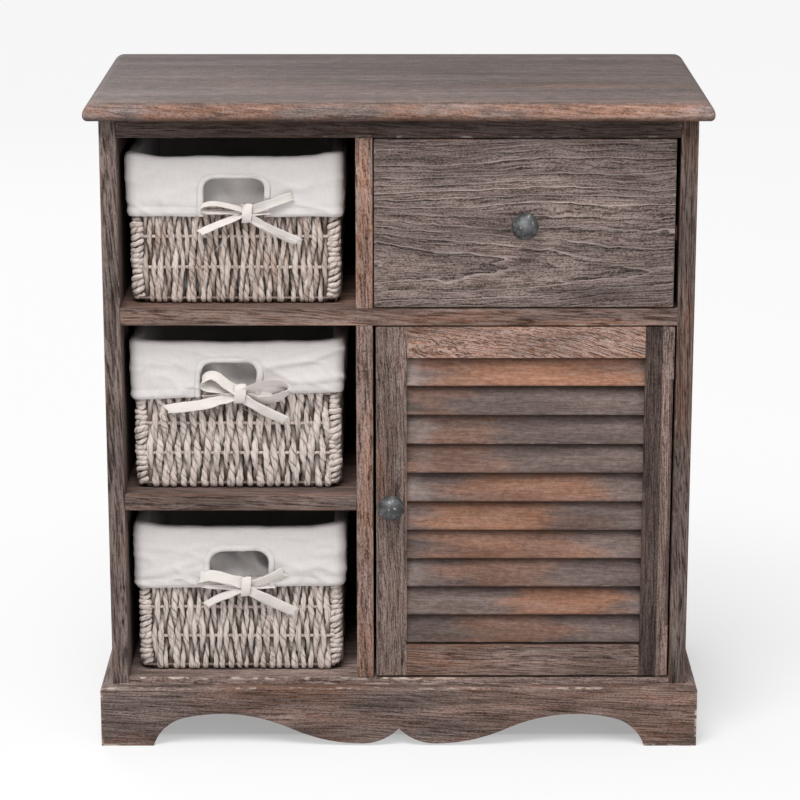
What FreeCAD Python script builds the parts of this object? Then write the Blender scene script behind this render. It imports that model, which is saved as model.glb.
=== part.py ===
import FreeCAD, Part
import math
import os
import re
import Sketcher

# A free-standing bathroom cabinet: three bays for lined baskets on the left, a drawer
# over a louvred door on the right, on a scroll-cut plinth. Millimetres and degrees.
# X runs to the right, Y to the back and Z up, from the middle of the footprint.
SIZES = {
    # Top board
    "top_length": 620,
    "top_depth": 340,
    "top_thickness": 18,
    "top_overhang": 20,
    "top_upper_round": 12,
    "top_lower_round": 5,
    "top_corner_round": 4,
    # Carcass
    "body_width": 592,
    "side_thickness": 17,
    "side_cover": 3,
    "board_thickness": 17,
    "back_thickness": 4,
    "back_rebate": 8,
    "back_clearance": 0.5,
    "basket_bay_width": 236,
    "lower_bay_height": 180.5,
    "middle_bay_height": 177,
    "upper_bay_height": 173,
    "rail_height": 19,
    "rail_depth": 40,
    "housing_depth": 6,
    "housing_stop": 12,
    "housing_clearance": 0.2,
    # Plinth
    "plinth_height": 64,
    "plinth_thickness": 12,
    "plinth_round": 4,
    "floor_reveal": 6.5,
    "foot_width": 54,
    "foot_knee_run": 32,
    "foot_knee_drop": 4.5,
    "arch_run": 38,
    "arch_height": 35,
    "lobe_offset": 38,
    "lobe_lift": 2.4,
    "cusp_height": 19,
    "block_width": 30,
    "block_lift": 2,
    # Screws in the top board and the back panel
    "screw_inset": 49,
    "top_screw_length": 30,
    "back_screw_length": 22,
    "screw_diameter": 4,
    "screw_head": 7.6,
    "screw_head_height": 2,
    "screw_clearance": 0.05,
    # Drawer
    "drawer_gap_left": 1.2,
    "drawer_gap_right": 4.3,
    "drawer_gap_top": 1.3,
    "drawer_gap_bottom": 1.5,
    "drawer_front_thickness": 17,
    "drawer_rear_gap": 46,
    "drawer_side_thickness": 11,
    "drawer_side_drop": 34,
    "drawer_side_inset": 1,
    "drawer_side_lift": 6,
    "drawer_lap": 9,
    "drawer_bottom_thickness": 4,
    "drawer_bottom_lift": 8,
    "drawer_groove": 5,
    "drawer_back_drop": 5,
    "runner_height": 14,
    "runner_level": 58,
    "runner_groove": 6,
    "runner_clearance": 0.3,
    "runner_setback": 22,
    # Louvred door
    "door_gap_left": 3,
    "door_gap_right": 2,
    "door_gap_top": 1.7,
    "door_gap_bottom": 2.5,
    "door_thickness": 18,
    "knob_stile_width": 31,
    "hinge_stile_width": 29,
    "door_top_rail": 32,
    "door_bottom_rail": 33,
    "tenon_length": 12,
    "tenon_thickness": 7,
    "tenon_shoulder": 5,
    "tenon_clearance": 0.1,
    "stop_chamfer": 4,
    "stop_chamfer_inset": 54,
    "slat_width": 36,
    "slat_thickness": 5,
    "slat_round": 2,
    "slat_tilt": 17,
    "slat_gap": 1.6,
    "slat_tuck": 4.7,
    "slat_housing": 7,
    "slat_clearance": 0.15,
    "slat_rebate_clearance": 1.5,
    # Pivot pins and bushes of the door
    "pivot_from_edge": 9.5,
    "pivot_from_face": 5.5,
    "pin_diameter": 5,
    "pin_in_door": 25,
    "pin_in_bush": 10,
    "pin_clearance": 0.05,
    "bush_diameter": 8,
    "bush_flange": 10,
    "bush_depth": 12,
    "bush_clearance": 0.05,
    "flange_clearance": 0.3,
    # Magnetic catch and its strike plate
    "catch_length": 40,
    "catch_depth": 15,
    "catch_height": 13,
    "catch_inset": 48,
    "strike_length": 34,
    "strike_height": 11,
    "strike_thickness": 1.2,
    "catch_clearance": 0.3,
    # Knobs
    "knob_diameter": 27,
    "knob_projection": 26,
    "knob_cap_height": 11,
    "knob_neck": 11,
    "knob_neck_level": 8,
    "knob_base": 17,
    "knob_base_height": 2.5,
    "knob_screw_diameter": 4,
    "knob_screw_head": 9,
    "knob_screw_head_height": 2.6,
    "knob_screw_reach": 14,
    "knob_screw_clearance": 0.05,
    # Lined baskets
    "basket_side_gap": 10.5,
    "basket_rear_gap": 31,
    "basket_flare": 2.5,
    "basket_headroom": 15.5,
    "basket_wall": 6,
    "basket_corner": 16,
    "basket_rim_height": 5,
    "basket_rim_round": 2,
    "basket_setback": 20,
    "basket_shift": -3,
    "basket_clearance": 0.3,
    "handle_width": 63,
    "handle_height": 30,
    "handle_drop": 25,
    "handle_corner": 11,
    "handle_margin": 2.5,
    "liner_thickness": 2,
    "liner_clearance": 0.3,
    "cuff_height": 66,
    # Bow of cotton tape on each basket
    "tape_width": 9,
    "tape_thickness": 1.4,
    "loop_length": 45,
    "loop_half_height": 7.5,
    "loop_lift": 9,
    "loop_depth": 6,
    "tail_length": 50,
    "tail_drop": 22,
    "knot_width": 11,
    "knot_height": 14,
    "knot_depth": 8,
    "knot_round": 2.5,
    "knot_offset": 10,
    "knot_below_handle": 7,
    "bow_clearance": 0.3,
}
SLATS = 10

doc = FreeCAD.newDocument("basket_storage_cabinet")
sheet = doc.addObject("Spreadsheet::Sheet", "Sizes")
for row, (alias, size) in enumerate(SIZES.items(), start=1):
    sheet.set(f"A{row}", alias)
    sheet.set(f"B{row}", str(size))
    sheet.setAlias(f"B{row}", alias)
doc.recompute()

# Levels above the ground: upper face of the bottom board, undersides of the shelves and the rails
FLOOR = "(plinth_height + floor_reveal)"
BASKET_SHELF = f"({FLOOR} + lower_bay_height)"
MID_SHELF = f"({BASKET_SHELF} + board_thickness + middle_bay_height)"
UPPER_FLOOR = f"({MID_SHELF} + board_thickness)"
RAIL = f"({UPPER_FLOOR} + upper_bay_height)"
CARCASS_TOP = f"({RAIL} + rail_height)"
SIDE_LOW = "(arch_height + side_cover)"

# Depths: the knobs reach furthest forward, the top board and the back panel furthest back
REAR = "((top_depth + knob_projection - top_overhang) / 2)"
FRONT = f"({REAR} - top_depth + top_overhang)"
SHELF_REAR = f"({REAR} - back_thickness)"
HOUSING_FRONT = f"({FRONT} + housing_stop)"

# Widths: outer and inner faces of the sides, and the two faces of the dividers
SIDE = "(body_width / 2)"
INNER = "(body_width / 2 - side_thickness)"
DIVIDER_LEFT = f"(basket_bay_width - {INNER})"
DIVIDER_RIGHT = f"({DIVIDER_LEFT} + board_thickness)"

NODES = {}


def formula(text):
    """Put the sheet's name in front of every size in a formula."""
    return re.sub(r"[a-z]\w*", lambda word: f"Sizes.{word[0]}" if word[0] in SIZES else word[0], text)


def value(text):
    """The number that a formula gives now."""
    return float(sheet.evalExpression(formula(text)))


def bind(thing, where, text):
    """Tie a property to a formula of the sheet's sizes."""
    thing.setExpression(where, formula(text))


def place(solid, x, y, z):
    """Set a solid down at a point given by three formulas."""
    for axis, text in zip("xyz", (x, y, z)):
        bind(solid, f".Placement.Base.{axis}", text)


def keep(solid, label):
    """Name a finished piece."""
    solid.Label = label
    NODES[label] = solid
    return solid


def block(x, y, z):
    """A rectangular block between a low and a high formula on each axis."""
    solid = doc.addObject("Part::Box", "Block")
    for side, (low, high) in zip(("Length", "Width", "Height"), (x, y, z)):
        bind(solid, side, f"({high}) - ({low})")
    place(solid, x[0], y[0], z[0])
    return solid


def rod(diameter, length, x, y, z, turn=None):
    """A round rod from a point, along Z unless it is turned."""
    solid = doc.addObject("Part::Cylinder", "Rod")
    bind(solid, "Radius", f"({diameter}) / 2")
    bind(solid, "Height", length)
    if turn:
        solid.Placement = FreeCAD.Placement(FreeCAD.Vector(), turn)
    place(solid, x, y, z)
    return solid


def join(*solids):
    """Several solids made one."""
    whole = doc.addObject("Part::MultiFuse", "Join")
    whole.Shapes = list(solids)
    whole.Refine = True
    return whole


def group(*solids):
    """Several separate solids kept together."""
    together = doc.addObject("Part::Compound", "Group")
    together.Links = list(solids)
    return together


def cut(base, *tools):
    """A solid less the tools."""
    rest = doc.addObject("Part::Cut", "Cut")
    rest.Base = base
    rest.Tool = join(*tools) if len(tools) > 1 else tools[0]
    return rest


def arc_middle(start, end, radius):
    """The middle of the shorter arc between two points; a positive radius turns left."""
    chord = end - start
    half = chord.Length / 2
    rise = abs(radius) - math.sqrt(max(radius * radius - half * half, 0))
    aside = FreeCAD.Vector(chord.y, -chord.x, 0).normalize() * math.copysign(rise, radius)
    return (start + end) / 2 + aside


def draw(sketch, outlines):
    """Draw closed outlines, with every corner and radius tied to its formula.

    A corner is (across, up), or (across, up, radius) where an arc leads to the next one.
    """
    for outline in outlines:
        points = [FreeCAD.Vector(value(corner[0]), value(corner[1]), 0) for corner in outline]
        first = sketch.GeometryCount
        starts = []
        ends = []
        for corner, start, end in zip(outline, points, points[1:] + points[:1]):
            turns_right = len(corner) == 3 and value(corner[2]) < 0
            starts.append(2 if turns_right else 1)
            ends.append(1 if turns_right else 2)
            if len(corner) == 2:
                sketch.addGeometry(Part.LineSegment(start, end))
                continue
            middle = arc_middle(start, end, value(corner[2]))
            run = (end, middle, start) if turns_right else (start, middle, end)
            sketch.addGeometry(Part.Arc(*run))
        for place_in, corner in enumerate(outline):
            line = first + place_in
            after = (place_in + 1) % len(outline)
            sketch.addConstraint(
                Sketcher.Constraint("Coincident", line, ends[place_in], first + after, starts[after])
            )
            point = points[place_in]
            end_of_line = (-1, 1, line, starts[place_in])
            ties = [
                (Sketcher.Constraint("DistanceX", *end_of_line, point.x), corner[0]),
                (Sketcher.Constraint("DistanceY", *end_of_line, point.y), corner[1]),
            ]
            if len(corner) == 3:
                radius = abs(value(corner[2]))
                ties.append((Sketcher.Constraint("Radius", line, radius), f"abs({corner[2]})"))
            for tie, text in ties:
                number = sketch.addConstraint(tie)
                bind(sketch, f"Constraints[{number}]", text)


def rectangle(across, up):
    """Four corners from a low and a high formula each way."""
    return [(across[0], up[0]), (across[1], up[0]), (across[1], up[1]), (across[0], up[1])]


def rounded(half_across, half_up, radius, middle=("0", "0")):
    """A rectangle with round corners about a middle point."""
    left, right = (f"{middle[0]} {sign} ({half_across})" for sign in "-+")
    low, high = (f"{middle[1]} {sign} ({half_up})" for sign in "-+")
    return [
        (right, f"{high} - ({radius})", radius),
        (f"{right} - ({radius})", high),
        (f"{left} + ({radius})", high, radius),
        (left, f"{high} - ({radius})"),
        (left, f"{low} + ({radius})", radius),
        (f"{left} + ({radius})", low),
        (f"{right} - ({radius})", low, radius),
        (right, f"{low} + ({radius})"),
    ]


def new_body(name):
    """An empty body for a piece made from drawn profiles."""
    return doc.addObject("PartDesign::Body", name)


def sketch_on(body, plane, outlines, offset):
    """A drawing on one of the body's own planes, moved along that plane's normal."""
    planes = {feature.Role: feature for feature in body.Origin.OriginFeatures}
    sketch = body.newObject("Sketcher::SketchObject", "Profile")
    sketch.AttachmentSupport = [(planes[plane], "")]
    sketch.MapMode = "FlatFace"
    bind(sketch, "AttachmentOffset.Base.z", offset)
    draw(sketch, outlines)
    return sketch


def pad(body, plane, outlines, low, high):
    """Add a profile's solid to a body, between two places along the plane's axis."""
    offset = f"-({high})" if plane == "XZ_Plane" else low
    feature = body.newObject("PartDesign::Pad", "Pad")
    feature.Profile = sketch_on(body, plane, outlines, offset)
    bind(feature, "Length", f"({high}) - ({low})")
    doc.recompute()
    return body


def pocket(body, plane, outlines, low, high):
    """Cut a profile out of a body, between two places along the plane's axis."""
    before = body.Shape.Volume
    offset = f"-({low})" if plane == "XZ_Plane" else high
    feature = body.newObject("PartDesign::Pocket", "Pocket")
    feature.Profile = sketch_on(body, plane, outlines, offset)
    bind(feature, "Length", f"({high}) - ({low})")
    doc.recompute()
    if body.Shape.Volume >= before:
        raise RuntimeError(f"{body.Name}: a pocket cut nothing")
    return body


def turned(name, outline):
    """A piece turned about its own Y axis from half of its profile."""
    body = new_body(name)
    feature = body.newObject("PartDesign::Revolution", "Turning")
    profile = sketch_on(body, "XY_Plane", [outline], "0")
    feature.Profile = profile
    feature.ReferenceAxis = (profile, ["V_Axis"])
    feature.Angle = 360
    doc.recompute()
    return body


def round_edges(body, radius, chosen):
    """Round the edges of a body that a test picks out."""
    base = body.Tip
    names = [f"Edge{count}" for count, edge in enumerate(base.Shape.Edges, start=1) if chosen(edge)]
    feature = body.newObject("PartDesign::Fillet", "Round")
    feature.Base = (base, names)
    bind(feature, "Radius", radius)
    doc.recompute()
    return body


def lies_at(edge, **limits):
    """Whether an edge lies in the planes given, such as z=12.0."""
    box = edge.BoundBox
    for axis, at in limits.items():
        low = getattr(box, f"{axis.upper()}Min")
        high = getattr(box, f"{axis.upper()}Max")
        if max(abs(low - at), abs(high - at)) > 1e-4:
            return False
    return True


def screws(places, turn, length, grow):
    """Countersunk screws from their heads' outer faces, grown all round by a clearance."""
    made = []
    for x, y, z in places:
        head = doc.addObject("Part::Cone", "Head")
        bind(head, "Radius1", f"screw_head / 2 + {grow}")
        bind(head, "Radius2", f"screw_diameter / 2 + {grow}")
        bind(head, "Height", "screw_head_height")
        head.Placement = FreeCAD.Placement(FreeCAD.Vector(), turn)
        place(head, x, y, z)
        shank = rod(f"screw_diameter + 2 * {grow}", f"{length} + {grow}", x, y, z, turn)
        made.append(join(head, shank))
    return made


UPWARD = FreeCAD.Rotation(FreeCAD.Vector(1, 0, 0), 0)
FORWARD = FreeCAD.Rotation(FreeCAD.Vector(1, 0, 0), 90)
BACKWARD = FreeCAD.Rotation(FreeCAD.Vector(1, 0, 0), -90)

# Screws that hold the top board from under the two rails, and the back panel on the boards' rear edges
RAIL_MIDDLES = (f"{FRONT} + rail_depth / 2", f"{SHELF_REAR} - rail_depth / 2")
ACROSS = [f"{side} * ({INNER} - screw_inset)" for side in (-1, 0, 1)]
top_places = [(x, y, RAIL) for y in RAIL_MIDDLES for x in ACROSS]
BOARD_MIDDLES = (
    f"{FLOOR} - board_thickness / 2",
    f"{MID_SHELF} + board_thickness / 2",
    f"{RAIL} + rail_height / 2",
)
back_places = [(x, REAR, z) for z in BOARD_MIDDLES for x in ACROSS]
keep(group(*screws(top_places, UPWARD, "top_screw_length", "0")), "top_fixing_screws")
keep(group(*screws(back_places, FORWARD, "back_screw_length", "0")), "back_panel_screws")


def top_bores():
    return screws(top_places, UPWARD, "top_screw_length", "screw_clearance")


def back_bores():
    return screws(back_places, FORWARD, "back_screw_length", "screw_clearance")


# Bushes of the door's pivots, let into the boards below and above it
PIVOT_X = f"({INNER} - door_gap_right - pivot_from_edge)"
PIVOT_Y = f"({FRONT} + pivot_from_face)"
DOOR_LOW = f"({FLOOR} + door_gap_bottom)"
DOOR_HIGH = f"({MID_SHELF} - door_gap_top)"
LOW_FLANGE = f"({DOOR_LOW} - flange_clearance)"
HIGH_FLANGE = f"({DOOR_HIGH} + flange_clearance)"


LOW_BUSH = f"({FLOOR} - bush_depth)"
HIGH_BUSH = f"({MID_SHELF} + bush_depth)"


def bush(sleeve, flange):
    """A flanged sleeve between two pairs of levels, bored for the pin."""
    low = min(sleeve[0], flange[0], key=value)
    high = max(sleeve[1], flange[1], key=value)
    steps = []
    for wide, (start, end) in (("bush_diameter", sleeve), ("bush_flange", flange)):
        steps.append(rod(wide, f"{end} - {start}", PIVOT_X, PIVOT_Y, start))
    bore = rod("pin_diameter + 2 * pin_clearance", f"{high} - {low}", PIVOT_X, PIVOT_Y, low)
    return cut(join(*steps), bore)


low_bush = bush((LOW_BUSH, FLOOR), (FLOOR, LOW_FLANGE))
high_bush = bush((MID_SHELF, HIGH_BUSH), (HIGH_FLANGE, MID_SHELF))
keep(group(low_bush, high_bush), "door_pivot_bushes")


def bush_bore(low):
    """The hole that a bush is let into."""
    return rod("bush_diameter + 2 * bush_clearance", "bush_depth", PIVOT_X, PIVOT_Y, low)


# Shelves and the bottom board: tongues at their ends sit in stopped housings of the uprights
TONGUE = "housing_depth - housing_clearance"
SHOULDER = f"({HOUSING_FRONT} + housing_clearance)"


def shelf(name, left, right, level):
    """A board with a tongue at each end, set back behind its front corners."""
    outline = [
        (left, FRONT),
        (right, FRONT),
        (right, SHOULDER),
        (f"{right} + {TONGUE}", SHOULDER),
        (f"{right} + {TONGUE}", SHELF_REAR),
        (f"{left} - ({TONGUE})", SHELF_REAR),
        (f"{left} - ({TONGUE})", SHOULDER),
        (left, SHOULDER),
    ]
    return pad(new_body(name), "XY_Plane", [outline], level, f"{level} + board_thickness")


def housing(x, level):
    """The groove that takes a shelf's tongue, open at the back."""
    return block(x, (HOUSING_FRONT, REAR), (level, f"{level} + board_thickness + housing_clearance"))


BOTTOM_LEVEL = f"({FLOOR} - board_thickness)"
bottom = shelf("BottomBoard", f"-{INNER}", INNER, BOTTOM_LEVEL)
keep(cut(bottom, bush_bore(LOW_BUSH), *back_bores()), "bottom_board")
middle = shelf("MidShelf", f"-{INNER}", INNER, MID_SHELF)
keep(cut(middle, bush_bore(MID_SHELF), *back_bores()), "mid_shelf")
keep(shelf("BasketShelf", f"-{INNER}", DIVIDER_LEFT, BASKET_SHELF), "basket_shelf")

# Side panels: housed for the shelves and rebated at the back for the back panel
for label, inner, outer, levels in (
    ("left_side_panel", f"-{INNER}", f"-{SIDE}", (BOTTOM_LEVEL, BASKET_SHELF, MID_SHELF)),
    ("right_side_panel", INNER, SIDE, (BOTTOM_LEVEL, MID_SHELF)),
):
    towards = -1 if label.startswith("left") else 1
    span = (outer, inner) if towards < 0 else (inner, outer)
    groove_floor = f"{inner} + {towards} * housing_depth"
    rebate_edge = f"{inner} + {towards} * back_rebate"
    groove = (groove_floor, inner) if towards < 0 else (inner, groove_floor)
    rebate = (rebate_edge, inner) if towards < 0 else (inner, rebate_edge)
    panel = block(span, (FRONT, REAR), (SIDE_LOW, CARCASS_TOP))
    cuts = [housing(groove, level) for level in levels]
    cuts.append(block(rebate, (SHELF_REAR, REAR), (SIDE_LOW, CARCASS_TOP)))
    keep(cut(panel, *cuts), label)

# Rails under the top board, at the front and at the back
FRONT_RAIL = (FRONT, f"{FRONT} + rail_depth")
REAR_RAIL = (f"{SHELF_REAR} - rail_depth", SHELF_REAR)
for label, depth in (("top_front_rail", FRONT_RAIL), ("top_rear_rail", REAR_RAIL)):
    keep(cut(block((f"-{INNER}", INNER), depth, (RAIL, CARCASS_TOP)), *top_bores(), *back_bores()), label)

# Dividers: the upper one is notched round both rails, the lower one is housed for the basket shelf
DIVIDER = (DIVIDER_LEFT, DIVIDER_RIGHT)
upper_divider = block(DIVIDER, (FRONT, SHELF_REAR), (UPPER_FLOOR, CARCASS_TOP))
notches = [block(DIVIDER, depth, (RAIL, CARCASS_TOP)) for depth in (FRONT_RAIL, REAR_RAIL)]
keep(cut(upper_divider, *notches), "upper_divider")
lower_divider = block(DIVIDER, (FRONT, SHELF_REAR), (FLOOR, MID_SHELF))
divider_groove = (DIVIDER_LEFT, f"{DIVIDER_LEFT} + housing_depth")
keep(cut(lower_divider, housing(divider_groove, BASKET_SHELF)), "lower_divider")

# Back panel in the rebates of the sides, screwed to the rear edges of the boards
BACK_EDGE = f"({INNER} + back_rebate - back_clearance)"
back = block((f"-{BACK_EDGE}", BACK_EDGE), (SHELF_REAR, REAR), (BOTTOM_LEVEL, CARCASS_TOP))
keep(cut(back, *back_bores()), "back_panel")

# Top board with a rounded thumbnail edge on the front and the ends
TOP_FRONT = f"({FRONT} - top_overhang)"
TOP_FACE = f"({CARCASS_TOP} + top_thickness)"
top = new_body("TopBoard")
top_outline = rectangle(("-top_length / 2", "top_length / 2"), (TOP_FRONT, REAR))
pad(top, "XY_Plane", [top_outline], CARCASS_TOP, TOP_FACE)
top_front = value(TOP_FRONT)
rear = value(REAR)
round_edges(top, "top_corner_round", lambda edge: lies_at(edge, y=top_front) and edge.BoundBox.XLength < 1e-4)
UPPER_ROUND = "min(top_upper_round; 0.95 * (top_thickness - top_lower_round))"
for level, radius in ((TOP_FACE, UPPER_ROUND), (CARCASS_TOP, "top_lower_round")):
    at = value(level)
    round_edges(top, radius, lambda edge: lies_at(edge, z=at) and not lies_at(edge, y=rear))
keep(cut(top, *top_bores()), "top_board")

# Plinth: a scroll-cut front apron between two feet, and a side board with the same feet behind each end
PLINTH = f"({SIDE} + plinth_thickness)"
PLINTH_FRONT = f"({FRONT} - plinth_thickness)"
KNEE_HEIGHT = "(arch_height - foot_knee_drop)"
ARCH_RADIUS = "((arch_run^2 + foot_knee_drop^2) / (2 * foot_knee_drop))"
KNEE_TURN = f"(atan({KNEE_HEIGHT} / foot_knee_run) - 2 * atan(foot_knee_drop / arch_run))"
KNEE_RADIUS = f"(sqrt(foot_knee_run^2 + {KNEE_HEIGHT}^2) / (2 * sin({KNEE_TURN})))"
APEX = f"({PLINTH} - foot_width - foot_knee_run - arch_run)"
SWEEP_RUN = f"({APEX} - lobe_offset)"
SWEEP_DROP = "(arch_height - lobe_lift)"
SWEEP_RADIUS = f"(({SWEEP_RUN}^2 + {SWEEP_DROP}^2) / (4 * {SWEEP_DROP}))"
CUSP_RISE = "(cusp_height - lobe_lift)"
CUSP_RADIUS = f"((lobe_offset^2 + {CUSP_RISE}^2) / (2 * {CUSP_RISE}))"
INFLECTION = (f"({APEX} + lobe_offset) / 2", "(arch_height + lobe_lift) / 2")


def foot(outer, sign):
    """A foot's inner edge from the ground up to the crown of the arch, from its outer corner."""
    inner = f"{outer} - {sign} * foot_width"
    knee = f"{inner} - {sign} * foot_knee_run"
    return [(inner, "0"), (knee, KNEE_HEIGHT), (f"{knee} - {sign} * arch_run", "arch_height")]


def outward(edge_points, after):
    """The arcs down a foot's inner edge and out along the ground."""
    crown, knee, ground = reversed(edge_points)
    return [(*crown, f"-{ARCH_RADIUS}"), (*knee, f"-{KNEE_RADIUS}"), ground, *after]


def inward(edge_points, crown_run):
    """The arcs up a foot's inner edge to the crown, and how the edge goes on from there."""
    ground, knee, crown = edge_points
    return [(*ground, f"-{KNEE_RADIUS}"), (*knee, f"-{ARCH_RADIUS}"), (*crown, *crown_run)]


scroll = [
    (f"-{PLINTH}", "plinth_height"),
    (f"-{PLINTH}", "0"),
    *inward(foot(f"-{PLINTH}", -1), [f"-{SWEEP_RADIUS}"]),
    (f"-{INFLECTION[0]}", INFLECTION[1], SWEEP_RADIUS),
    ("-lobe_offset", "lobe_lift", CUSP_RADIUS),
    ("0", "cusp_height", CUSP_RADIUS),
    ("lobe_offset", "lobe_lift", SWEEP_RADIUS),
    (*INFLECTION, f"-{SWEEP_RADIUS}"),
    *outward(foot(PLINTH, 1), [(PLINTH, "0"), (PLINTH, "plinth_height")]),
]
apron = pad(new_body("PlinthFront"), "XZ_Plane", [scroll], PLINTH_FRONT, FRONT)
plinth_top = value("plinth_height")
front_face = value(FRONT)
round_edges(apron, "plinth_round", lambda edge: lies_at(edge, z=plinth_top) and not lies_at(edge, y=front_face))
keep(apron, "plinth_front")

side_scroll = [
    (FRONT, "plinth_height"),
    (FRONT, "0"),
    *inward(foot(PLINTH_FRONT, -1), []),
    *outward(foot(REAR, 1), [(REAR, "0"), (REAR, "plinth_height")]),
]
for label, span in (("plinth_left", (f"-{PLINTH}", f"-{SIDE}")), ("plinth_right", (SIDE, PLINTH))):
    board = pad(new_body("PlinthSide"), "YZ_Plane", [side_scroll], *span)
    outer_face = value(span[0] if label.endswith("left") else span[1])
    round_edges(board, "plinth_round", lambda edge: lies_at(edge, z=plinth_top, x=outer_face))
    keep(board, label)

# Glue blocks in the corners of the plinth, under the lower ends of the side panels
blocks = []
for across in ((f"-{SIDE}", f"-{SIDE} + block_width"), (f"{SIDE} - block_width", SIDE)):
    for depth in ((FRONT, f"{FRONT} + block_width"), (f"{SHELF_REAR} - block_width", SHELF_REAR)):
        blocks.append(block(across, depth, ("block_lift", SIDE_LOW)))
keep(group(*blocks), "corner_blocks")


# Turned knob with a domed cap on a waisted neck, and the screw that holds it from behind
KNOB_BORE = "(knob_screw_diameter / 2 + knob_screw_clearance)"
CAP_RADIUS = "((knob_diameter^2 / 4 + knob_cap_height^2) / (2 * knob_cap_height))"
CAP_RIM = "(knob_projection - knob_cap_height)"
WAIST_RUN = "((knob_base - knob_neck) / 2)"
WAIST_RISE = "(knob_neck_level - knob_base_height)"
WAIST_RADIUS = f"(({WAIST_RUN}^2 + {WAIST_RISE}^2) / (2 * {WAIST_RUN}))"
FLARE_RUN = "((knob_diameter - knob_neck) / 2)"
FLARE_RISE = f"({CAP_RIM} - knob_neck_level)"
FLARE_RADIUS = f"(({FLARE_RUN}^2 + {FLARE_RISE}^2) / (2 * min({FLARE_RUN}; {FLARE_RISE})))"


def knob(label, x, z):
    """A knob on the front face."""
    outline = [
        (KNOB_BORE, "0"),
        (KNOB_BORE, f"-(knob_screw_reach + {KNOB_BORE})"),
        ("0", f"-(knob_screw_reach + {KNOB_BORE})"),
        ("0", "-knob_projection", CAP_RADIUS),
        ("knob_diameter / 2", f"-{CAP_RIM}", f"-{FLARE_RADIUS}"),
        ("knob_neck / 2", "-knob_neck_level", f"-{WAIST_RADIUS}"),
        ("knob_base / 2", "-knob_base_height"),
        ("knob_base / 2", "0"),
    ]
    body = turned("Knob", outline)
    place(body, x, FRONT, z)
    return keep(body, label)


def knob_screw(label, x, z, thickness):
    """A pan-head screw from the inner face of a front into its knob."""
    crown = "(knob_screw_head_height / 2)"
    dome = f"(knob_screw_head^2 / 4 + {crown}^2) / (2 * {crown})"
    outline = [
        ("0", "-knob_screw_reach"),
        ("knob_screw_diameter / 2", "-knob_screw_reach"),
        ("knob_screw_diameter / 2", thickness),
        ("knob_screw_head / 2", thickness),
        ("knob_screw_head / 2", f"{thickness} + {crown}", dome),
        ("0", f"{thickness} + knob_screw_head_height"),
    ]
    body = turned("KnobScrew", outline)
    place(body, x, FRONT, z)
    return keep(body, label)


def knob_bore(x, z, thickness):
    """The hole for a knob's screw through a front."""
    return rod(f"2 * {KNOB_BORE}", thickness, x, FRONT, z, BACKWARD)


# Drawer: lapped front, sides grooved for the runners, a back over a thin bottom in grooves
DRAWER_LEFT = f"({DIVIDER_RIGHT} + drawer_gap_left)"
DRAWER_RIGHT = f"({INNER} - drawer_gap_right)"
DRAWER_LOW = f"({UPPER_FLOOR} + drawer_gap_bottom)"
DRAWER_HIGH = f"({RAIL} - drawer_gap_top)"
DRAWER_INSIDE = f"({FRONT} + drawer_front_thickness)"
DRAWER_REAR = f"({SHELF_REAR} - drawer_rear_gap)"
LAP = f"({DRAWER_INSIDE} - drawer_lap)"
BOX_LEFT = f"({DRAWER_LEFT} + drawer_side_inset)"
BOX_RIGHT = f"({DRAWER_RIGHT} - drawer_side_inset)"
BOX_LOW = f"({DRAWER_LOW} + drawer_side_lift)"
BOX_HIGH = f"({DRAWER_HIGH} - drawer_side_drop)"
LEFT_SIDE = (BOX_LEFT, f"({BOX_LEFT} + drawer_side_thickness)")
RIGHT_SIDE = (f"({BOX_RIGHT} - drawer_side_thickness)", BOX_RIGHT)
BOTTOM = f"({BOX_LOW} + drawer_bottom_lift)"
BOTTOM_GROOVE = (BOTTOM, f"{BOTTOM} + drawer_bottom_thickness + housing_clearance")
SLIDE = f"({BOX_LOW} + runner_level)"
SLIDE_GROOVE = (f"{SLIDE} - runner_clearance", f"{SLIDE} + runner_height + runner_clearance")
GROOVE_LEFT = f"({LEFT_SIDE[1]} - drawer_groove)"
GROOVE_RIGHT = f"({RIGHT_SIDE[0]} + drawer_groove)"
DRAWER_MIDDLE = (f"({DRAWER_LEFT} + {DRAWER_RIGHT}) / 2", f"({DRAWER_LOW} + {DRAWER_HIGH}) / 2")

front = block((DRAWER_LEFT, DRAWER_RIGHT), (FRONT, DRAWER_INSIDE), (DRAWER_LOW, DRAWER_HIGH))
front_cuts = [
    block(LEFT_SIDE, (LAP, DRAWER_INSIDE), (BOX_LOW, BOX_HIGH)),
    block(RIGHT_SIDE, (LAP, DRAWER_INSIDE), (BOX_LOW, BOX_HIGH)),
    block((GROOVE_LEFT, GROOVE_RIGHT), (f"{DRAWER_INSIDE} - drawer_groove", DRAWER_INSIDE), BOTTOM_GROOVE),
    knob_bore(*DRAWER_MIDDLE, "drawer_front_thickness"),
]
keep(cut(front, *front_cuts), "drawer_front")

LEFT_SLIDE = (BOX_LEFT, f"{BOX_LEFT} + runner_groove")
RIGHT_SLIDE = (f"{BOX_RIGHT} - runner_groove", BOX_RIGHT)
for label, span, groove, slide in (
    ("drawer_left_side", LEFT_SIDE, (GROOVE_LEFT, LEFT_SIDE[1]), LEFT_SLIDE),
    ("drawer_right_side", RIGHT_SIDE, (RIGHT_SIDE[0], GROOVE_RIGHT), RIGHT_SLIDE),
):
    side = block(span, (LAP, DRAWER_REAR), (BOX_LOW, BOX_HIGH))
    keep(
        cut(
            side,
            block(groove, (LAP, DRAWER_REAR), BOTTOM_GROOVE),
            block(slide, (DRAWER_INSIDE, DRAWER_REAR), SLIDE_GROOVE),
        ),
        label,
    )

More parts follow.
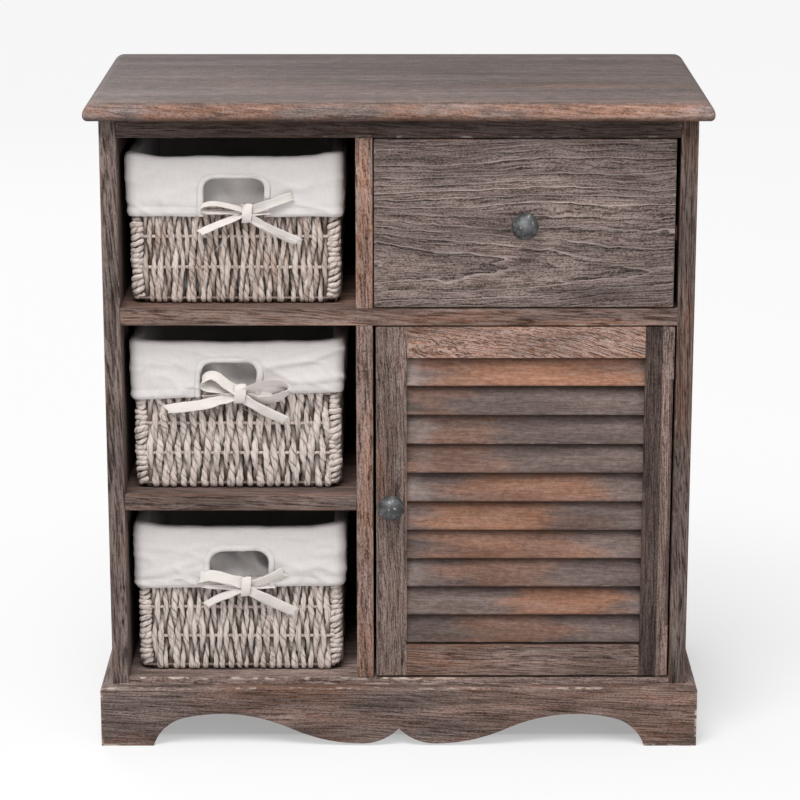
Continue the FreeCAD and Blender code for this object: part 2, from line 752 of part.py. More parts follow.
BACK_OF_DRAWER = (f"{DRAWER_REAR} - drawer_side_thickness", DRAWER_REAR)
BETWEEN_SIDES = (LEFT_SIDE[1], RIGHT_SIDE[0])
keep(block(BETWEEN_SIDES, BACK_OF_DRAWER, (BOTTOM_GROOVE[1], f"{BOX_HIGH} - drawer_back_drop")), "drawer_back")
keep(
    block(
        (f"{GROOVE_LEFT} + housing_clearance", f"{GROOVE_RIGHT} - housing_clearance"),
        (f"{DRAWER_INSIDE} - drawer_groove + housing_clearance", DRAWER_REAR),
        (BOTTOM, f"{BOTTOM} + drawer_bottom_thickness"),
    ),
    "drawer_bottom",
)
knob("drawer_knob", *DRAWER_MIDDLE)
knob_screw("drawer_knob_screw", *DRAWER_MIDDLE, "drawer_front_thickness")

# Wooden runners on the divider and the right side, reaching into the grooves of the drawer's sides
RUNNER_FRONT = f"({FRONT} + runner_setback)"
REACH = "runner_groove - runner_clearance"
for label, span in (
    ("drawer_runner_left", (DIVIDER_RIGHT, f"{BOX_LEFT} + {REACH}")),
    ("drawer_runner_right", (f"{BOX_RIGHT} - ({REACH})", INNER)),
):
    keep(block(span, (RUNNER_FRONT, SHELF_REAR), (SLIDE, f"{SLIDE} + runner_height")), label)

# Door frame: stiles mortised for the rails' tenons and slotted for the slats
DOOR_LEFT = f"({DIVIDER_RIGHT} + door_gap_left)"
DOOR_RIGHT = f"({INNER} - door_gap_right)"
DOOR_BACK = f"({FRONT} + door_thickness)"
FRAME_LEFT = f"({DOOR_LEFT} + knob_stile_width)"
FRAME_RIGHT = f"({DOOR_RIGHT} - hinge_stile_width)"
TOP_RAIL = (f"({DOOR_HIGH} - door_top_rail)", DOOR_HIGH)
BOTTOM_RAIL = (DOOR_LOW, f"({DOOR_LOW} + door_bottom_rail)")
DOOR_MIDDLE = f"({FRONT} + door_thickness / 2)"
TENON = (f"{DOOR_MIDDLE} - tenon_thickness / 2", f"{DOOR_MIDDLE} + tenon_thickness / 2")
MORTISE = (f"{TENON[0]} - tenon_clearance", f"{TENON[1]} + tenon_clearance")
SLAT_ROUND = "min(slat_round; 0.45 * slat_thickness)"
HALF_SLAT = (
    f"((slat_width / 2 - {SLAT_ROUND}) * cos(slat_tilt)"
    f" + (slat_thickness / 2 - {SLAT_ROUND}) * sin(slat_tilt) + {SLAT_ROUND})"
)
FIRST_SLAT = f"({BOTTOM_RAIL[1]} + slat_gap + {HALF_SLAT})"
LAST_SLAT = f"({TOP_RAIL[0]} + slat_tuck - {HALF_SLAT})"
SLAT_PITCH = f"(({LAST_SLAT} - {FIRST_SLAT}) / {SLATS - 1})"
KNOB_PLACE = (f"{DOOR_LEFT} + knob_stile_width / 2", f"({DOOR_LOW} + {DOOR_HIGH}) / 2")


def slat_section(grow):
    """A slat's section, upright about its own middle."""
    return rounded(f"slat_thickness / 2 + {grow}", f"slat_width / 2 + {grow}", f"{SLAT_ROUND} + {grow}")


def slat_row(span, grow):
    """Slats across a span of the door, tilted with their lower edges to the front."""
    row = []
    for count in range(SLATS):
        slat = new_body("Slat")
        pad(slat, "YZ_Plane", [slat_section(grow)], *span)
        slat.Placement = FreeCAD.Placement(FreeCAD.Vector(), FreeCAD.Vector(-1, 0, 0), SIZES["slat_tilt"])
        bind(slat, ".Placement.Rotation.Angle", "slat_tilt")
        place(slat, "0", DOOR_MIDDLE, f"{FIRST_SLAT} + {count} * {SLAT_PITCH}")
        row.append(slat)
    return row


def mortises(span):
    """The two mortises of a stile, over a span across it."""
    holes = []
    for low, high in (TOP_RAIL, BOTTOM_RAIL):
        ends = (f"{low} + tenon_shoulder - tenon_clearance", f"{high} - tenon_shoulder + tenon_clearance")
        holes.append(block(span, MORTISE, ends))
    return holes


STILE_DEPTH = (FRONT, DOOR_BACK)
STILE_HEIGHT = (DOOR_LOW, DOOR_HIGH)
KNOB_SLOT = (f"{FRAME_LEFT} - slat_housing", FRAME_LEFT)
HINGE_SLOT = (FRAME_RIGHT, f"{FRAME_RIGHT} + slat_housing")
KNOB_MORTISE = (f"{FRAME_LEFT} - tenon_length - tenon_clearance", FRAME_LEFT)
HINGE_MORTISE = (FRAME_RIGHT, f"{FRAME_RIGHT} + tenon_length + tenon_clearance")
knob_stile = block((DOOR_LEFT, FRAME_LEFT), STILE_DEPTH, STILE_HEIGHT)
knob_cuts = mortises(KNOB_MORTISE) + slat_row(KNOB_SLOT, "slat_clearance")
knob_cuts.append(knob_bore(*KNOB_PLACE, "door_thickness"))
keep(cut(knob_stile, *knob_cuts), "door_knob_stile")

# The hinge stile has a stopped chamfer on its outer arris and a bore for a pin in each end
PIN_LOW = f"({FLOOR} - pin_in_bush)"
PIN_HIGH = f"({DOOR_HIGH} - pin_in_door)"
LOW_PIN_LENGTH = "(door_gap_bottom + pin_in_bush + pin_in_door)"
HIGH_PIN_LENGTH = "(door_gap_top + pin_in_bush + pin_in_door)"
hinge_stile = new_body("HingeStile")
pad(hinge_stile, "XY_Plane", [rectangle((FRAME_RIGHT, DOOR_RIGHT), STILE_DEPTH)], *STILE_HEIGHT)
chamfer = [
    (DOOR_RIGHT, FRONT),
    (DOOR_RIGHT, f"{FRONT} + stop_chamfer"),
    (f"{DOOR_RIGHT} - stop_chamfer", FRONT),
]
pocket(
    hinge_stile,
    "XY_Plane",
    [chamfer],
    f"{DOOR_LOW} + stop_chamfer_inset",
    f"{DOOR_HIGH} - stop_chamfer_inset",
)
BORE = "pin_diameter + 2 * pin_clearance"
pin_bores = [
    rod(BORE, "pin_in_door + pin_clearance", PIVOT_X, PIVOT_Y, DOOR_LOW),
    rod(BORE, "pin_in_door + pin_clearance", PIVOT_X, PIVOT_Y, f"{PIN_HIGH} - pin_clearance"),
]
hinge_cuts = mortises(HINGE_MORTISE) + slat_row(HINGE_SLOT, "slat_clearance") + pin_bores
keep(cut(hinge_stile, *hinge_cuts), "door_hinge_stile")
keep(
    group(
        rod("pin_diameter", LOW_PIN_LENGTH, PIVOT_X, PIVOT_Y, PIN_LOW),
        rod("pin_diameter", HIGH_PIN_LENGTH, PIVOT_X, PIVOT_Y, PIN_HIGH),
    ),
    "door_pivot_pins",
)

# Rails of the door between the stiles; the top one is rebated behind for the uppermost slat
SLAT_REBATE = "(slat_tuck + slat_rebate_clearance)"
TENON_SPAN = (f"{FRAME_LEFT} - tenon_length", f"{FRAME_RIGHT} + tenon_length")
for label, (low, high) in (("door_top_rail", TOP_RAIL), ("door_bottom_rail", BOTTOM_RAIL)):
    rail = join(
        block((FRAME_LEFT, FRAME_RIGHT), STILE_DEPTH, (low, high)),
        block(TENON_SPAN, TENON, (f"{low} + tenon_shoulder", f"{high} - tenon_shoulder")),
    )
    if label == "door_top_rail":
        rebate_depth = (f"{DOOR_MIDDLE} - slat_thickness / 2", DOOR_BACK)
        slat_rebate = block(TENON_SPAN, rebate_depth, (low, f"{low} + {SLAT_REBATE}"))
        rail = cut(rail, slat_rebate)
    keep(rail, label)

SLAT_SPAN = (
    f"{FRAME_LEFT} - slat_housing + slat_clearance",
    f"{FRAME_RIGHT} + slat_housing - slat_clearance",
)
for count, slat in enumerate(slat_row(SLAT_SPAN, "0"), start=1):
    keep(slat, f"louvre_slat_{count:02d}")

knob("door_knob", *KNOB_PLACE)
knob_screw("door_knob_screw", *KNOB_PLACE, "door_thickness")

# Magnetic catch under the middle shelf and the strike plate on the door's top rail
CATCH_MIDDLE = f"({DOOR_LEFT} + catch_inset)"
CATCH_FRONT = f"({DOOR_BACK} + strike_thickness + catch_clearance)"
STRIKE_MIDDLE = f"({DOOR_HIGH} - (door_top_rail - {SLAT_REBATE}) / 2)"
catch = new_body("DoorCatch")
catch_outline = rectangle(
    (f"{CATCH_MIDDLE} - catch_length / 2", f"{CATCH_MIDDLE} + catch_length / 2"),
    (CATCH_FRONT, f"{CATCH_FRONT} + catch_depth"),
)
pad(catch, "XY_Plane", [catch_outline], f"{MID_SHELF} - catch_height", MID_SHELF)
keep(catch, "door_catch")
keep(
    block(
        (f"{CATCH_MIDDLE} - strike_length / 2", f"{CATCH_MIDDLE} + strike_length / 2"),
        (DOOR_BACK, f"{DOOR_BACK} + strike_thickness"),
        (f"{STRIKE_MIDDLE} - strike_height / 2", f"{STRIKE_MIDDLE} + strike_height / 2"),
    ),
    "door_strike_plate",
)


# Baskets: a woven shell with a hand hole in front, a rim rod, a cotton liner turned over the rim and a bow
LEAST_BAY = "min(lower_bay_height; middle_bay_height; upper_bay_height)"
LINER_TOP = f"({LEAST_BAY} - basket_headroom - basket_clearance)"
RIM = f"({LINER_TOP} - liner_clearance - liner_thickness)"
WALL_TOP = f"({RIM} - basket_rim_height)"
CUFF = "(liner_clearance + liner_thickness)"
TOP_FLARE = f"(basket_flare * {LINER_TOP} / {WALL_TOP})"
FRONT_HALF = "((top_depth - top_overhang - back_thickness - basket_setback - basket_rear_gap) / 2)"
BASE_WIDTH = f"(basket_bay_width / 2 - basket_side_gap - {CUFF} - {TOP_FLARE})"
BASE_DEPTH = f"({FRONT_HALF} - {CUFF} - {TOP_FLARE})"


def basket_ring(level, grow):
    """The basket's outline at a height, grown all round."""
    ring = doc.addObject("Sketcher::SketchObject", "Ring")
    bind(ring, ".Placement.Base.z", level)
    more = f"basket_flare * ({level}) / {WALL_TOP} + {grow}"
    draw(ring, [rounded(f"{BASE_WIDTH} + {more}", f"{BASE_DEPTH} + {more}", f"basket_corner + {grow}")])
    return ring


def tapered(low, high, grow):
    """The basket's outline drawn up between two heights, grown all round."""
    solid = doc.addObject("Part::Loft", "Taper")
    solid.Sections = [basket_ring(low, grow), basket_ring(high, grow)]
    solid.Solid = True
    solid.Ruled = True
    return solid


CUFF_LOW = f"({LINER_TOP} - cuff_height)"
OUTSIDE = "liner_clearance"
INSIDE = "(-basket_wall)"
LINED = "(-basket_wall - liner_clearance)"
BAG = "(-basket_wall - liner_clearance - liner_thickness)"
HANDLE_MIDDLE = f"({LINER_TOP} - handle_drop - handle_height / 2)"
THROUGH_FRONT = (f"-{FRONT_HALF} - 1", f"-{FRONT_HALF} + basket_wall + 2 * {CUFF} + 2 * basket_flare + 1")


def hand_hole(grow):
    """The hand hole through the front wall, grown all round."""
    hole = new_body("HandHole")
    outline = rounded(
        f"handle_width / 2 + {grow}",
        f"handle_height / 2 + {grow}",
        f"handle_corner + {grow}",
        ("0", HANDLE_MIDDLE),
    )
    return pad(hole, "XZ_Plane", [outline], *THROUGH_FRONT)


def cuff_notch():
    """The gap in the front of the cuff, from the hand hole down to the cuff's lower edge."""
    half = "handle_width / 2"
    outline = rectangle((f"-{half}", half), (f"{CUFF_LOW} - 1", HANDLE_MIDDLE))
    depth = f"-{FRONT_HALF} + {CUFF} + basket_flare"
    return pad(new_body("CuffNotch"), "XZ_Plane", [outline], THROUGH_FRONT[0], depth)


def weave():
    """The woven shell."""
    shell = tapered("0", WALL_TOP, "0")
    hollow = tapered("basket_wall", f"{WALL_TOP} + 1", INSIDE)
    return cut(shell, hollow, hand_hole("handle_margin"))


def rim():
    """The wrapped rod on top of the walls."""
    ring = new_body("Rim")
    outer = rounded(f"{BASE_WIDTH} + basket_flare", f"{BASE_DEPTH} + basket_flare", "basket_corner")
    inner = rounded(
        f"{BASE_WIDTH} + basket_flare - basket_wall",
        f"{BASE_DEPTH} + basket_flare - basket_wall",
        "basket_corner - basket_wall",
    )
    pad(ring, "XY_Plane", [outer, inner], WALL_TOP, RIM)
    top_level = value(RIM)
    return round_edges(ring, "basket_rim_round", lambda edge: lies_at(edge, z=top_level))


def liner():
    """The bag inside the basket and its cuff outside, joined over the rim."""
    whole = join(tapered(CUFF_LOW, LINER_TOP, CUFF), tapered("basket_wall + liner_clearance", LINER_TOP, LINED))
    wall = cut(
        tapered("0", f"{RIM} + liner_clearance", OUTSIDE),
        tapered("0", f"{RIM} + liner_clearance", LINED),
    )
    hollow = tapered("basket_wall + liner_clearance + liner_thickness", f"{LINER_TOP} + 1", BAG)
    return cut(whole, wall, hollow, hand_hole("0"), cuff_notch())


KNOT = ("knot_offset", f"({HANDLE_MIDDLE} - handle_height / 2 - knot_below_handle)")
LOOP_TOP = f"({KNOT[1]} + loop_lift + loop_half_height)"
BOW_BACK = f"(-{BASE_DEPTH} - basket_flare * {LOOP_TOP} / {WALL_TOP} - {CUFF} - bow_clearance)"
KNOT_ROUND = "min(knot_round; 0.9 * (knot_depth - loop_depth))"


def lens(start, end, half_height):
    """Two equal arcs between the ends of a loop."""
    run = f"sqrt(({end[0]} - ({start[0]}))^2 + ({end[1]} - ({start[1]}))^2)"
    radius = f"(({run} / 2)^2 + ({half_height})^2) / (2 * ({half_height}))"
    return [(*start, radius), (*end, radius)]


def along_loop(side, reach):
    """A point on the middle line of a loop, at a reach aside of the knot."""
    return f"{KNOT[0]} + {side} * ({reach})", f"{KNOT[1]} + loop_lift * ({reach}) / loop_length"


def bow():
    """A bow: two open loops and two slanting tails from a knot, which closes round their roots."""
    body = new_body("Bow")
    knot = rectangle(
        (f"{KNOT[0]} - knot_width / 2", f"{KNOT[0]} + knot_width / 2"),
        (f"{KNOT[1]} - knot_height / 2", f"{KNOT[1]} + knot_height / 2"),
    )
    knot_depth = (f"{BOW_BACK} - knot_depth", BOW_BACK)
    loop_depth = (f"{BOW_BACK} - loop_depth", BOW_BACK)
    pad(body, "XZ_Plane", [knot], *knot_depth)
    for side in (-1, 1):
        outside = lens(KNOT, along_loop(side, "loop_length"), "loop_half_height")
        ends = (along_loop(side, "knot_width / 4"), along_loop(side, "loop_length - 2 * tape_thickness"))
        inside = lens(*ends, "loop_half_height - tape_thickness")
        pad(body, "XZ_Plane", [outside], *loop_depth)
        pocket(body, "XZ_Plane", [inside], *loop_depth)
        foot_of_tail = f"{KNOT[1]} - tail_drop"
        end = f"{KNOT[0]} + {side} * tail_length"
        tail = [
            (KNOT[0], f"{KNOT[1]} + tape_width / 2"),
            (end, f"{foot_of_tail} + tape_width / 2"),
            (f"{end} - {side} * tape_width / 2", f"{foot_of_tail} - tape_width / 2"),
            (KNOT[0], f"{KNOT[1]} - tape_width / 2"),
        ]
        pad(body, "XZ_Plane", [tail], f"{BOW_BACK} - tape_thickness", BOW_BACK)
    pad(body, "XZ_Plane", [knot], *knot_depth)
    knot_front = value(knot_depth[0])
    return round_edges(body, KNOT_ROUND, lambda edge: lies_at(edge, y=knot_front))


BASKET_X = f"basket_bay_width / 2 - {INNER} + basket_shift"
BASKET_Y = f"{FRONT} + basket_setback + {FRONT_HALF}"
BAY_FLOORS = (UPPER_FLOOR, f"({BASKET_SHELF} + board_thickness)", FLOOR)
for count, bay_floor in enumerate(BAY_FLOORS, start=1):
    pieces = {"weave": weave(), "rim": rim(), "liner": liner(), "bow": bow()}
    for kind, solid in pieces.items():
        place(solid, BASKET_X, BASKET_Y, f"{bay_floor} + basket_clearance")
        keep(solid, f"basket_{count}_{kind}")

# Test every object and every piece, then write the pieces
doc.recompute()
for thing in doc.Objects:
    if "Invalid" in thing.State or "Error" in thing.State:
        raise RuntimeError(f"{thing.Label}: {thing.State}")
os.makedirs("parts", exist_ok=True)
for label, piece in NODES.items():
    shape = piece.Shape
    if shape.isNull() or not shape.isValid() or not shape.Solids:
        raise RuntimeError(f"{label}: its shape isn't a valid solid")
    shape.exportStep(f"parts/{label}.step")
print(f"{len(NODES)} pieces written")
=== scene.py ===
import math
from functools import partialmethod

import bpy
import numpy as np
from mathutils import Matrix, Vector, noise


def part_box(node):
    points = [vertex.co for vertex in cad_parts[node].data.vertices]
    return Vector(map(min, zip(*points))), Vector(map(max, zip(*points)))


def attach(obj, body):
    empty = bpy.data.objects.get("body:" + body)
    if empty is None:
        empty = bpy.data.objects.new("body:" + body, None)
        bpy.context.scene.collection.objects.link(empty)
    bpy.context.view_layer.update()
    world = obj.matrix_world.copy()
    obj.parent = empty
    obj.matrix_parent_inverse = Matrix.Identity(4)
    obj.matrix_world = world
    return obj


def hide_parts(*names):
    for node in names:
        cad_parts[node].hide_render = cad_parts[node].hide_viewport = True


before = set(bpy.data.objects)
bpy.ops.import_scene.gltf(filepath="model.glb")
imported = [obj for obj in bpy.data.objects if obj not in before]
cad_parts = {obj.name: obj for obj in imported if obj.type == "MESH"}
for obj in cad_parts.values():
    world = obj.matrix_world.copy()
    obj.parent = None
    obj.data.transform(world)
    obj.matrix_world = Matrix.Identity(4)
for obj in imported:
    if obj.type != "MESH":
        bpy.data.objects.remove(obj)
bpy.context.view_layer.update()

# Studio: a pale floor under white air, a wide soft lamp over the front, weaker ones from the right and from
# behind, and a long lens a little above the top board that looks down at the front.
scene = bpy.context.scene
scene.view_settings.view_transform = "Standard"

LENS_PLACE = (0.0012, -3.0241, 1.1305)
LENS_TILT = math.radians(75.15)
lens = bpy.data.cameras.new("long_lens")
lens.lens = 132.75
camera = bpy.data.objects.new("camera", lens)
camera.location = LENS_PLACE
camera.rotation_euler = (LENS_TILT, 0, 0)
scene.collection.objects.link(camera)
scene.camera = camera

BODY_MIDDLE = Vector((0, 0, 0.35))
SOFTBOXES = {
    "overhead_softbox": ((-0.55, -1.55, 2.85), 1.5, 84),
    "side_softbox": ((2.0, -2.4, 1.5), 1.4, 15),
    "rear_softbox": ((-1.2, 2.7, 1.9), 1.6, 22),
}
for name, (place, size, power) in SOFTBOXES.items():
    lamp = bpy.data.lights.new(name, "AREA")
    lamp.size = size
    lamp.energy = power
    softbox = bpy.data.objects.new(name, lamp)
    softbox.location = place
    softbox.rotation_euler = (BODY_MIDDLE - Vector(place)).to_track_quat("-Z", "Y").to_euler()
    scene.collection.objects.link(softbox)


def give(node, sockets):
    """Set a shader node's sockets, by name or number, to values or to what other nodes give."""
    for name, given in dict(sockets).items():
        given = getattr(given, "socket", given)
        if isinstance(given, bpy.types.NodeSocket):
            node.id_data.links.new(given, node.inputs[name])
        else:
            node.inputs[name].default_value = given


def wire(tree, kind, sockets=(), **settings):
    """Add a shader node with its settings and sockets."""
    node = tree.nodes.new("ShaderNode" + kind)
    for name, setting in settings.items():
        setattr(node, name, setting)
    give(node, sockets)
    return node


class Reading:
    """A number or a point that a finish reads off its surface. Arithmetic with it becomes shader nodes."""

    def __init__(self, tree, socket, kind="Math"):
        self.tree, self.socket, self.kind = tree, socket, kind

    def step(self, operation, *terms):
        """One step of arithmetic that begins with this reading."""
        node = wire(self.tree, self.kind, enumerate((self, *terms)), operation=operation)
        return Reading(self.tree, node.outputs[0], self.kind)

    __add__ = partialmethod(step, "ADD")
    __sub__ = partialmethod(step, "SUBTRACT")
    __rsub__ = partialmethod(step, "MULTIPLY_ADD", -1.0)
    __mul__ = partialmethod(step, "MULTIPLY")
    __truediv__ = partialmethod(step, "DIVIDE")

    def parts(self):
        """The three numbers of a point."""
        return [Reading(self.tree, part) for part in wire(self.tree, "SeparateXYZ", {0: self}).outputs]

    def length(self):
        """How far a point is from the origin."""
        return read(self.tree, "VectorMath", {0: self}, "Value", operation="LENGTH")

    def fit(self, low, high, first=0.0, last=1.0, passage="LINEAR"):
        """The range from low to high turned into the range from first to last."""
        ranges = {"Value": self, "From Min": low, "From Max": high, "To Min": first, "To Max": last}
        return read(self.tree, "MapRange", ranges, interpolation_type=passage)

    def ease(self, low, high):
        """0 before low and 1 past high, with a smooth passage between."""
        return self.fit(low, high, passage="SMOOTHSTEP")

    def tint(self, first, second):
        """A colour that lies this share of the way from one to another."""
        return read(self.tree, "Mix", {0: self, 6: first, 7: second}, 2, True, data_type="RGBA")

    def mottle(self, stretch, detail=2.0, point=False):
        """Smooth noise at a point, with so many waves to the metre along each axis."""
        sockets = {"Vector": self * stretch, "Scale": 1.0, "Detail": detail}
        return read(self.tree, "TexNoise", sockets, "Color" if point else 0, point)

    def relief(self, strength, distance):
        """Bumps as high as this reading, for a shader's Normal."""
        return read(self.tree, "Bump", {"Strength": strength, "Distance": distance, "Height": self})


def read(tree, kind, sockets=(), output=0, point=False, **settings):
    """What one output of a new shader node gives: a number, or a point or colour."""
    node = wire(tree, kind, sockets, **settings)
    return Reading(tree, node.outputs[output], "VectorMath" if point else "Math")


def where(tree):
    """The place on the piece, in metres."""
    return read(tree, "TexCoord", (), "Object", True)


def new_finish(name):
    """An empty material, its tree and its surface shader."""
    finish = bpy.data.materials.new(name)
    finish.use_nodes = True
    return finish, finish.node_tree, finish.node_tree.nodes["Principled BSDF"]


def seen_straight(tree):
    """1 for what the lens sees, straight or by way of metal, and 0 for the light that falls on the object."""
    ray = wire(tree, "LightPath").outputs
    direct = Reading(tree, ray["Is Camera Ray"]) + ray["Is Glossy Ray"] + ray["Is Transmission Ray"]
    return direct.step("MINIMUM", 1.0)


def link_mesh(name, points, faces, finish):
    """A smooth mesh from points and faces, set in the scene."""
    mesh = bpy.data.meshes.new(name)
    mesh.from_pydata([tuple(point) for point in points], [], faces)
    mesh.shade_smooth()
    mesh.materials.append(finish)
    piece = bpy.data.objects.new(name, mesh)
    scene.collection.objects.link(piece)
    return piece


FLOOR_HALF = 16.0
UNDER_PLINTH = (0.29, 0.125, 0)
FLOOR_GLOW, FLOOR_FADE, FLOOR_REACH = (0.33, 0.88), 0.35, 0.83
AIR_GLOW = 0.34
PURE_WHITE = (1, 1, 1, 1)
paper, paper_tree, paper_shader = new_finish("floor_paper")
give(paper_shader, {"Base Color": (0.88, 0.88, 0.88, 1), "Roughness": 0.9, "Specular IOR Level": 0.1})
# Painted light: the floor glows white to the lens alone, little near the plinth and most further off, so its
# shadow fades away from the cabinet.
off_plinth = (where(paper_tree).step("ABSOLUTE") - UNDER_PLINTH).step("MAXIMUM", (0, 0, 0)).length()
paper_glow = off_plinth.step("POWER", FLOOR_FADE).fit(0.0, FLOOR_REACH, *FLOOR_GLOW)
white_glow = wire(paper_tree, "Emission", {"Color": PURE_WHITE, "Strength": 1.0}).outputs[0]
paper_layers = {0: seen_straight(paper_tree) * paper_glow, 1: paper_shader.outputs[0], 2: white_glow}
paper_surface = wire(paper_tree, "MixShader", paper_layers).outputs[0]
give(paper_tree.nodes["Material Output"], {"Surface": paper_surface})
floor_corners = [(x * FLOOR_HALF, y * FLOOR_HALF, 0) for x, y in ((-1, -1), (1, -1), (1, 1), (-1, 1))]
floor = link_mesh("floor", floor_corners, [(0, 1, 2, 3)], paper)

scene.world = bpy.data.worlds.new("studio_air")
scene.world.use_nodes = True
air_tree = scene.world.node_tree
air_light = seen_straight(air_tree).fit(0.0, 1.0, AIR_GLOW, 1.0)
give(air_tree.nodes["Background"], {"Color": PURE_WHITE, "Strength": air_light})

# Carcass: solid boards of light, coarse-grained wood, housed and screwed together. The wood was brushed along
# its grain, stained grey-brown and washed, so pale lines follow the rings, pores stay dark and warm patches
# of bare wood show through. The arrises are rubbed, with small pale chips.
GREY_STAIN = (0.163, 0.122, 0.112, 1)
WARM_WOOD = (0.300, 0.138, 0.080, 1)
DARK_PORE = (0.020, 0.0125, 0.0100, 1)
PALE_WASH = (0.40, 0.321, 0.294, 1)
BARE_CHIP = (0.66, 0.58, 0.50, 1)
SHADE_BROWN = (0.026, 0.0125, 0.0085, 1)


def joined(tree, *parts):
    """A point from three numbers."""
    return read(tree, "CombineXYZ", enumerate(parts), point=True)


def washed_wood(name, seed, order="xzy", warm=0.35, figure=1.0, ring=0.0065, heart=(0.05, 0.06),
                lean=(0.03, 0.05), tone=1.0, chips=0.45, lines=0.32, blush=0.14, sway=0.022, split=None,
                worn_and_lit_front=0.0, grime=None, chipped=0.0, clouds=1.0, flecks=1.0, bare=None, spread=1.0,
                fine=1.0, strokes=1.0, curl=(0.0022, 22), late_band=(0.45, 0.44), dapple=None, frost=None):
    """The finish of one board: its grain's order of axes, where its rings centre and how much wood shows."""
    finish, tree, shader = new_finish("washed_" + name)
    low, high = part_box(name)
    middle, half = (low + high) / 2, (high - low) / 2
    from_middle = where(tree) - middle
    axes = from_middle.parts()
    ordered = joined(tree, *(axes["xyz".index(axis)] for axis in order))
    own_tree = (0.731 * seed, 0.377 * seed, 0.193 * seed)
    place = ordered + own_tree

    # Rings about the heart, bent by slow drift and quick ripple.
    drift = place.mottle((3.0, 13, 13), point=True) - (0.5, 0.5, 0.5)
    ripple = place.mottle((curl[1], 110, 110), point=True) - (0.5, 0.5, 0.5)
    bent = ordered + drift * (0, sway, sway) + ripple * (0, curl[0], curl[0])
    along, across, depth = bent.parts()
    off_across = along * lean[0] + (across - heart[0])
    off_depth = along * lean[1] + (depth + heart[1])
    radius = joined(tree, 0.0, off_across, off_depth).length()
    years = radius / ring
    growth = years.step("FRACT")
    season = read(tree, "TexWhiteNoise", {"W": years.step("FLOOR")}, "Value", noise_dimensions="1D")
    grain = joined(tree, along, radius, off_across + off_depth) + own_tree
    late = growth.ease(late_band[0], 0.99)
    slow = (off_across.step("ABSOLUTE") / radius).ease(-0.05, 0.16)
    line = slow * (1.0 - growth.ease(0.05, 0.14))

    # Fibres, pores and flecks follow the rings; patches, clouds and blooms lie on the board.
    closer = grain * (fine, fine, fine)
    fibre = closer.mottle((24, 760, 560), 4.0)
    pore = closer.mottle((120, 1000, 700)).ease(0.52, 0.68)
    fleck = closer.mottle((380, 900, 680))
    smear = grain.mottle((13, 180, 130), 4.0).ease(0.44, 0.70)
    patch = place.mottle((4.2 / spread, 19 / spread, 19 / spread), 3.0)
    cloud = place.mottle((9 / spread, 66 / spread, 66 / spread), 3.0)
    bloom = place.mottle((9, 60, 60), 3.0).ease(0.42, 0.72)

    # Warm wood shows in patches, along a worn front and at a bare spot, given in millimetres.
    shows = patch.ease(0.70 - 0.44 * warm, 0.90 - 0.44 * warm)
    if worn_and_lit_front:
        at_front = axes[1].ease(-half.y + 0.0090, -half.y + 0.0030)
        by_front = axes[1].ease(-half.y + 0.0420, -half.y + 0.0100)
        lit_toward_front = axes[1].ease(half.y * 0.70, -half.y)
        scuffed = (by_front * 0.30 + at_front * 0.70) * place.mottle((17, 70, 70), 3.0).ease(0.34, 0.58)
        shows = shows.step("MAXIMUM", scuffed * worn_and_lit_front)
    if bare:
        ragged = (axes[0] - bare[0] / 1000).step("ABSOLUTE") + (cloud - 0.5) * 0.16
        shows = shows.step("MAXIMUM", ragged.ease(bare[1] / 800, bare[1] / 1700) * bare[2])
    stain = tuple(grey + (warmer - grey) * blush for grey, warmer in zip(GREY_STAIN, WARM_WOOD))
    colour = shows.tint(stain, WARM_WOOD)
    if frost:
        off_end = (axes[0] - frost[0] / 1000).step("ABSOLUTE") + (bloom - 0.5) * -0.012
        colour = (off_end.ease(frost[1] / 700, frost[1] / 2500) * frost[2]).tint(colour, PALE_WASH)

    # The arrises: rubbed down to the wood, and chipped in places.
    inset = (from_middle.step("ABSOLUTE") - half).parts()
    nearer, further = inset[0].step("MAXIMUM", inset[1]), inset[0].step("MINIMUM", inset[1])
    arris = further.step("MAXIMUM", nearer.step("MINIMUM", inset[2])).ease(-0.0032, -0.0004)
    flake = place.mottle((64, 230, 230), 4.0).ease(0.58 - chipped, 0.63 - chipped)
    broken = patch.ease(0.48 - chipped, 0.58 - chipped)
    drawn = line * fibre.ease(0.10, 0.48) * (season * 0.75 + 0.30)
    layers = (
        (bloom * 0.16, PALE_WASH),
        (late * (late_band[1] * figure), DARK_PORE),
        (smear * (0.42 * figure * strokes), DARK_PORE),
        (fibre.ease(0.44, 0.60) * (0.12 + 0.32 * figure), PALE_WASH),
        (fibre.ease(0.46, 0.34) * (0.72 * figure * strokes), DARK_PORE),
        (pore * (0.36 * figure * strokes), DARK_PORE),
        (fleck.ease(0.50, 0.32) * (0.52 * flecks), DARK_PORE),
        (fleck.ease(0.50, 0.70) * (0.34 * flecks), PALE_WASH),
        (drawn * lines, PALE_WASH),
        (arris * bloom.ease(0.0, 1.0) * 0.42, WARM_WOOD),
        (arris * flake * broken * chips, BARE_CHIP),
    )
    for share, dye in layers:
        colour = share.tint(colour, dye)

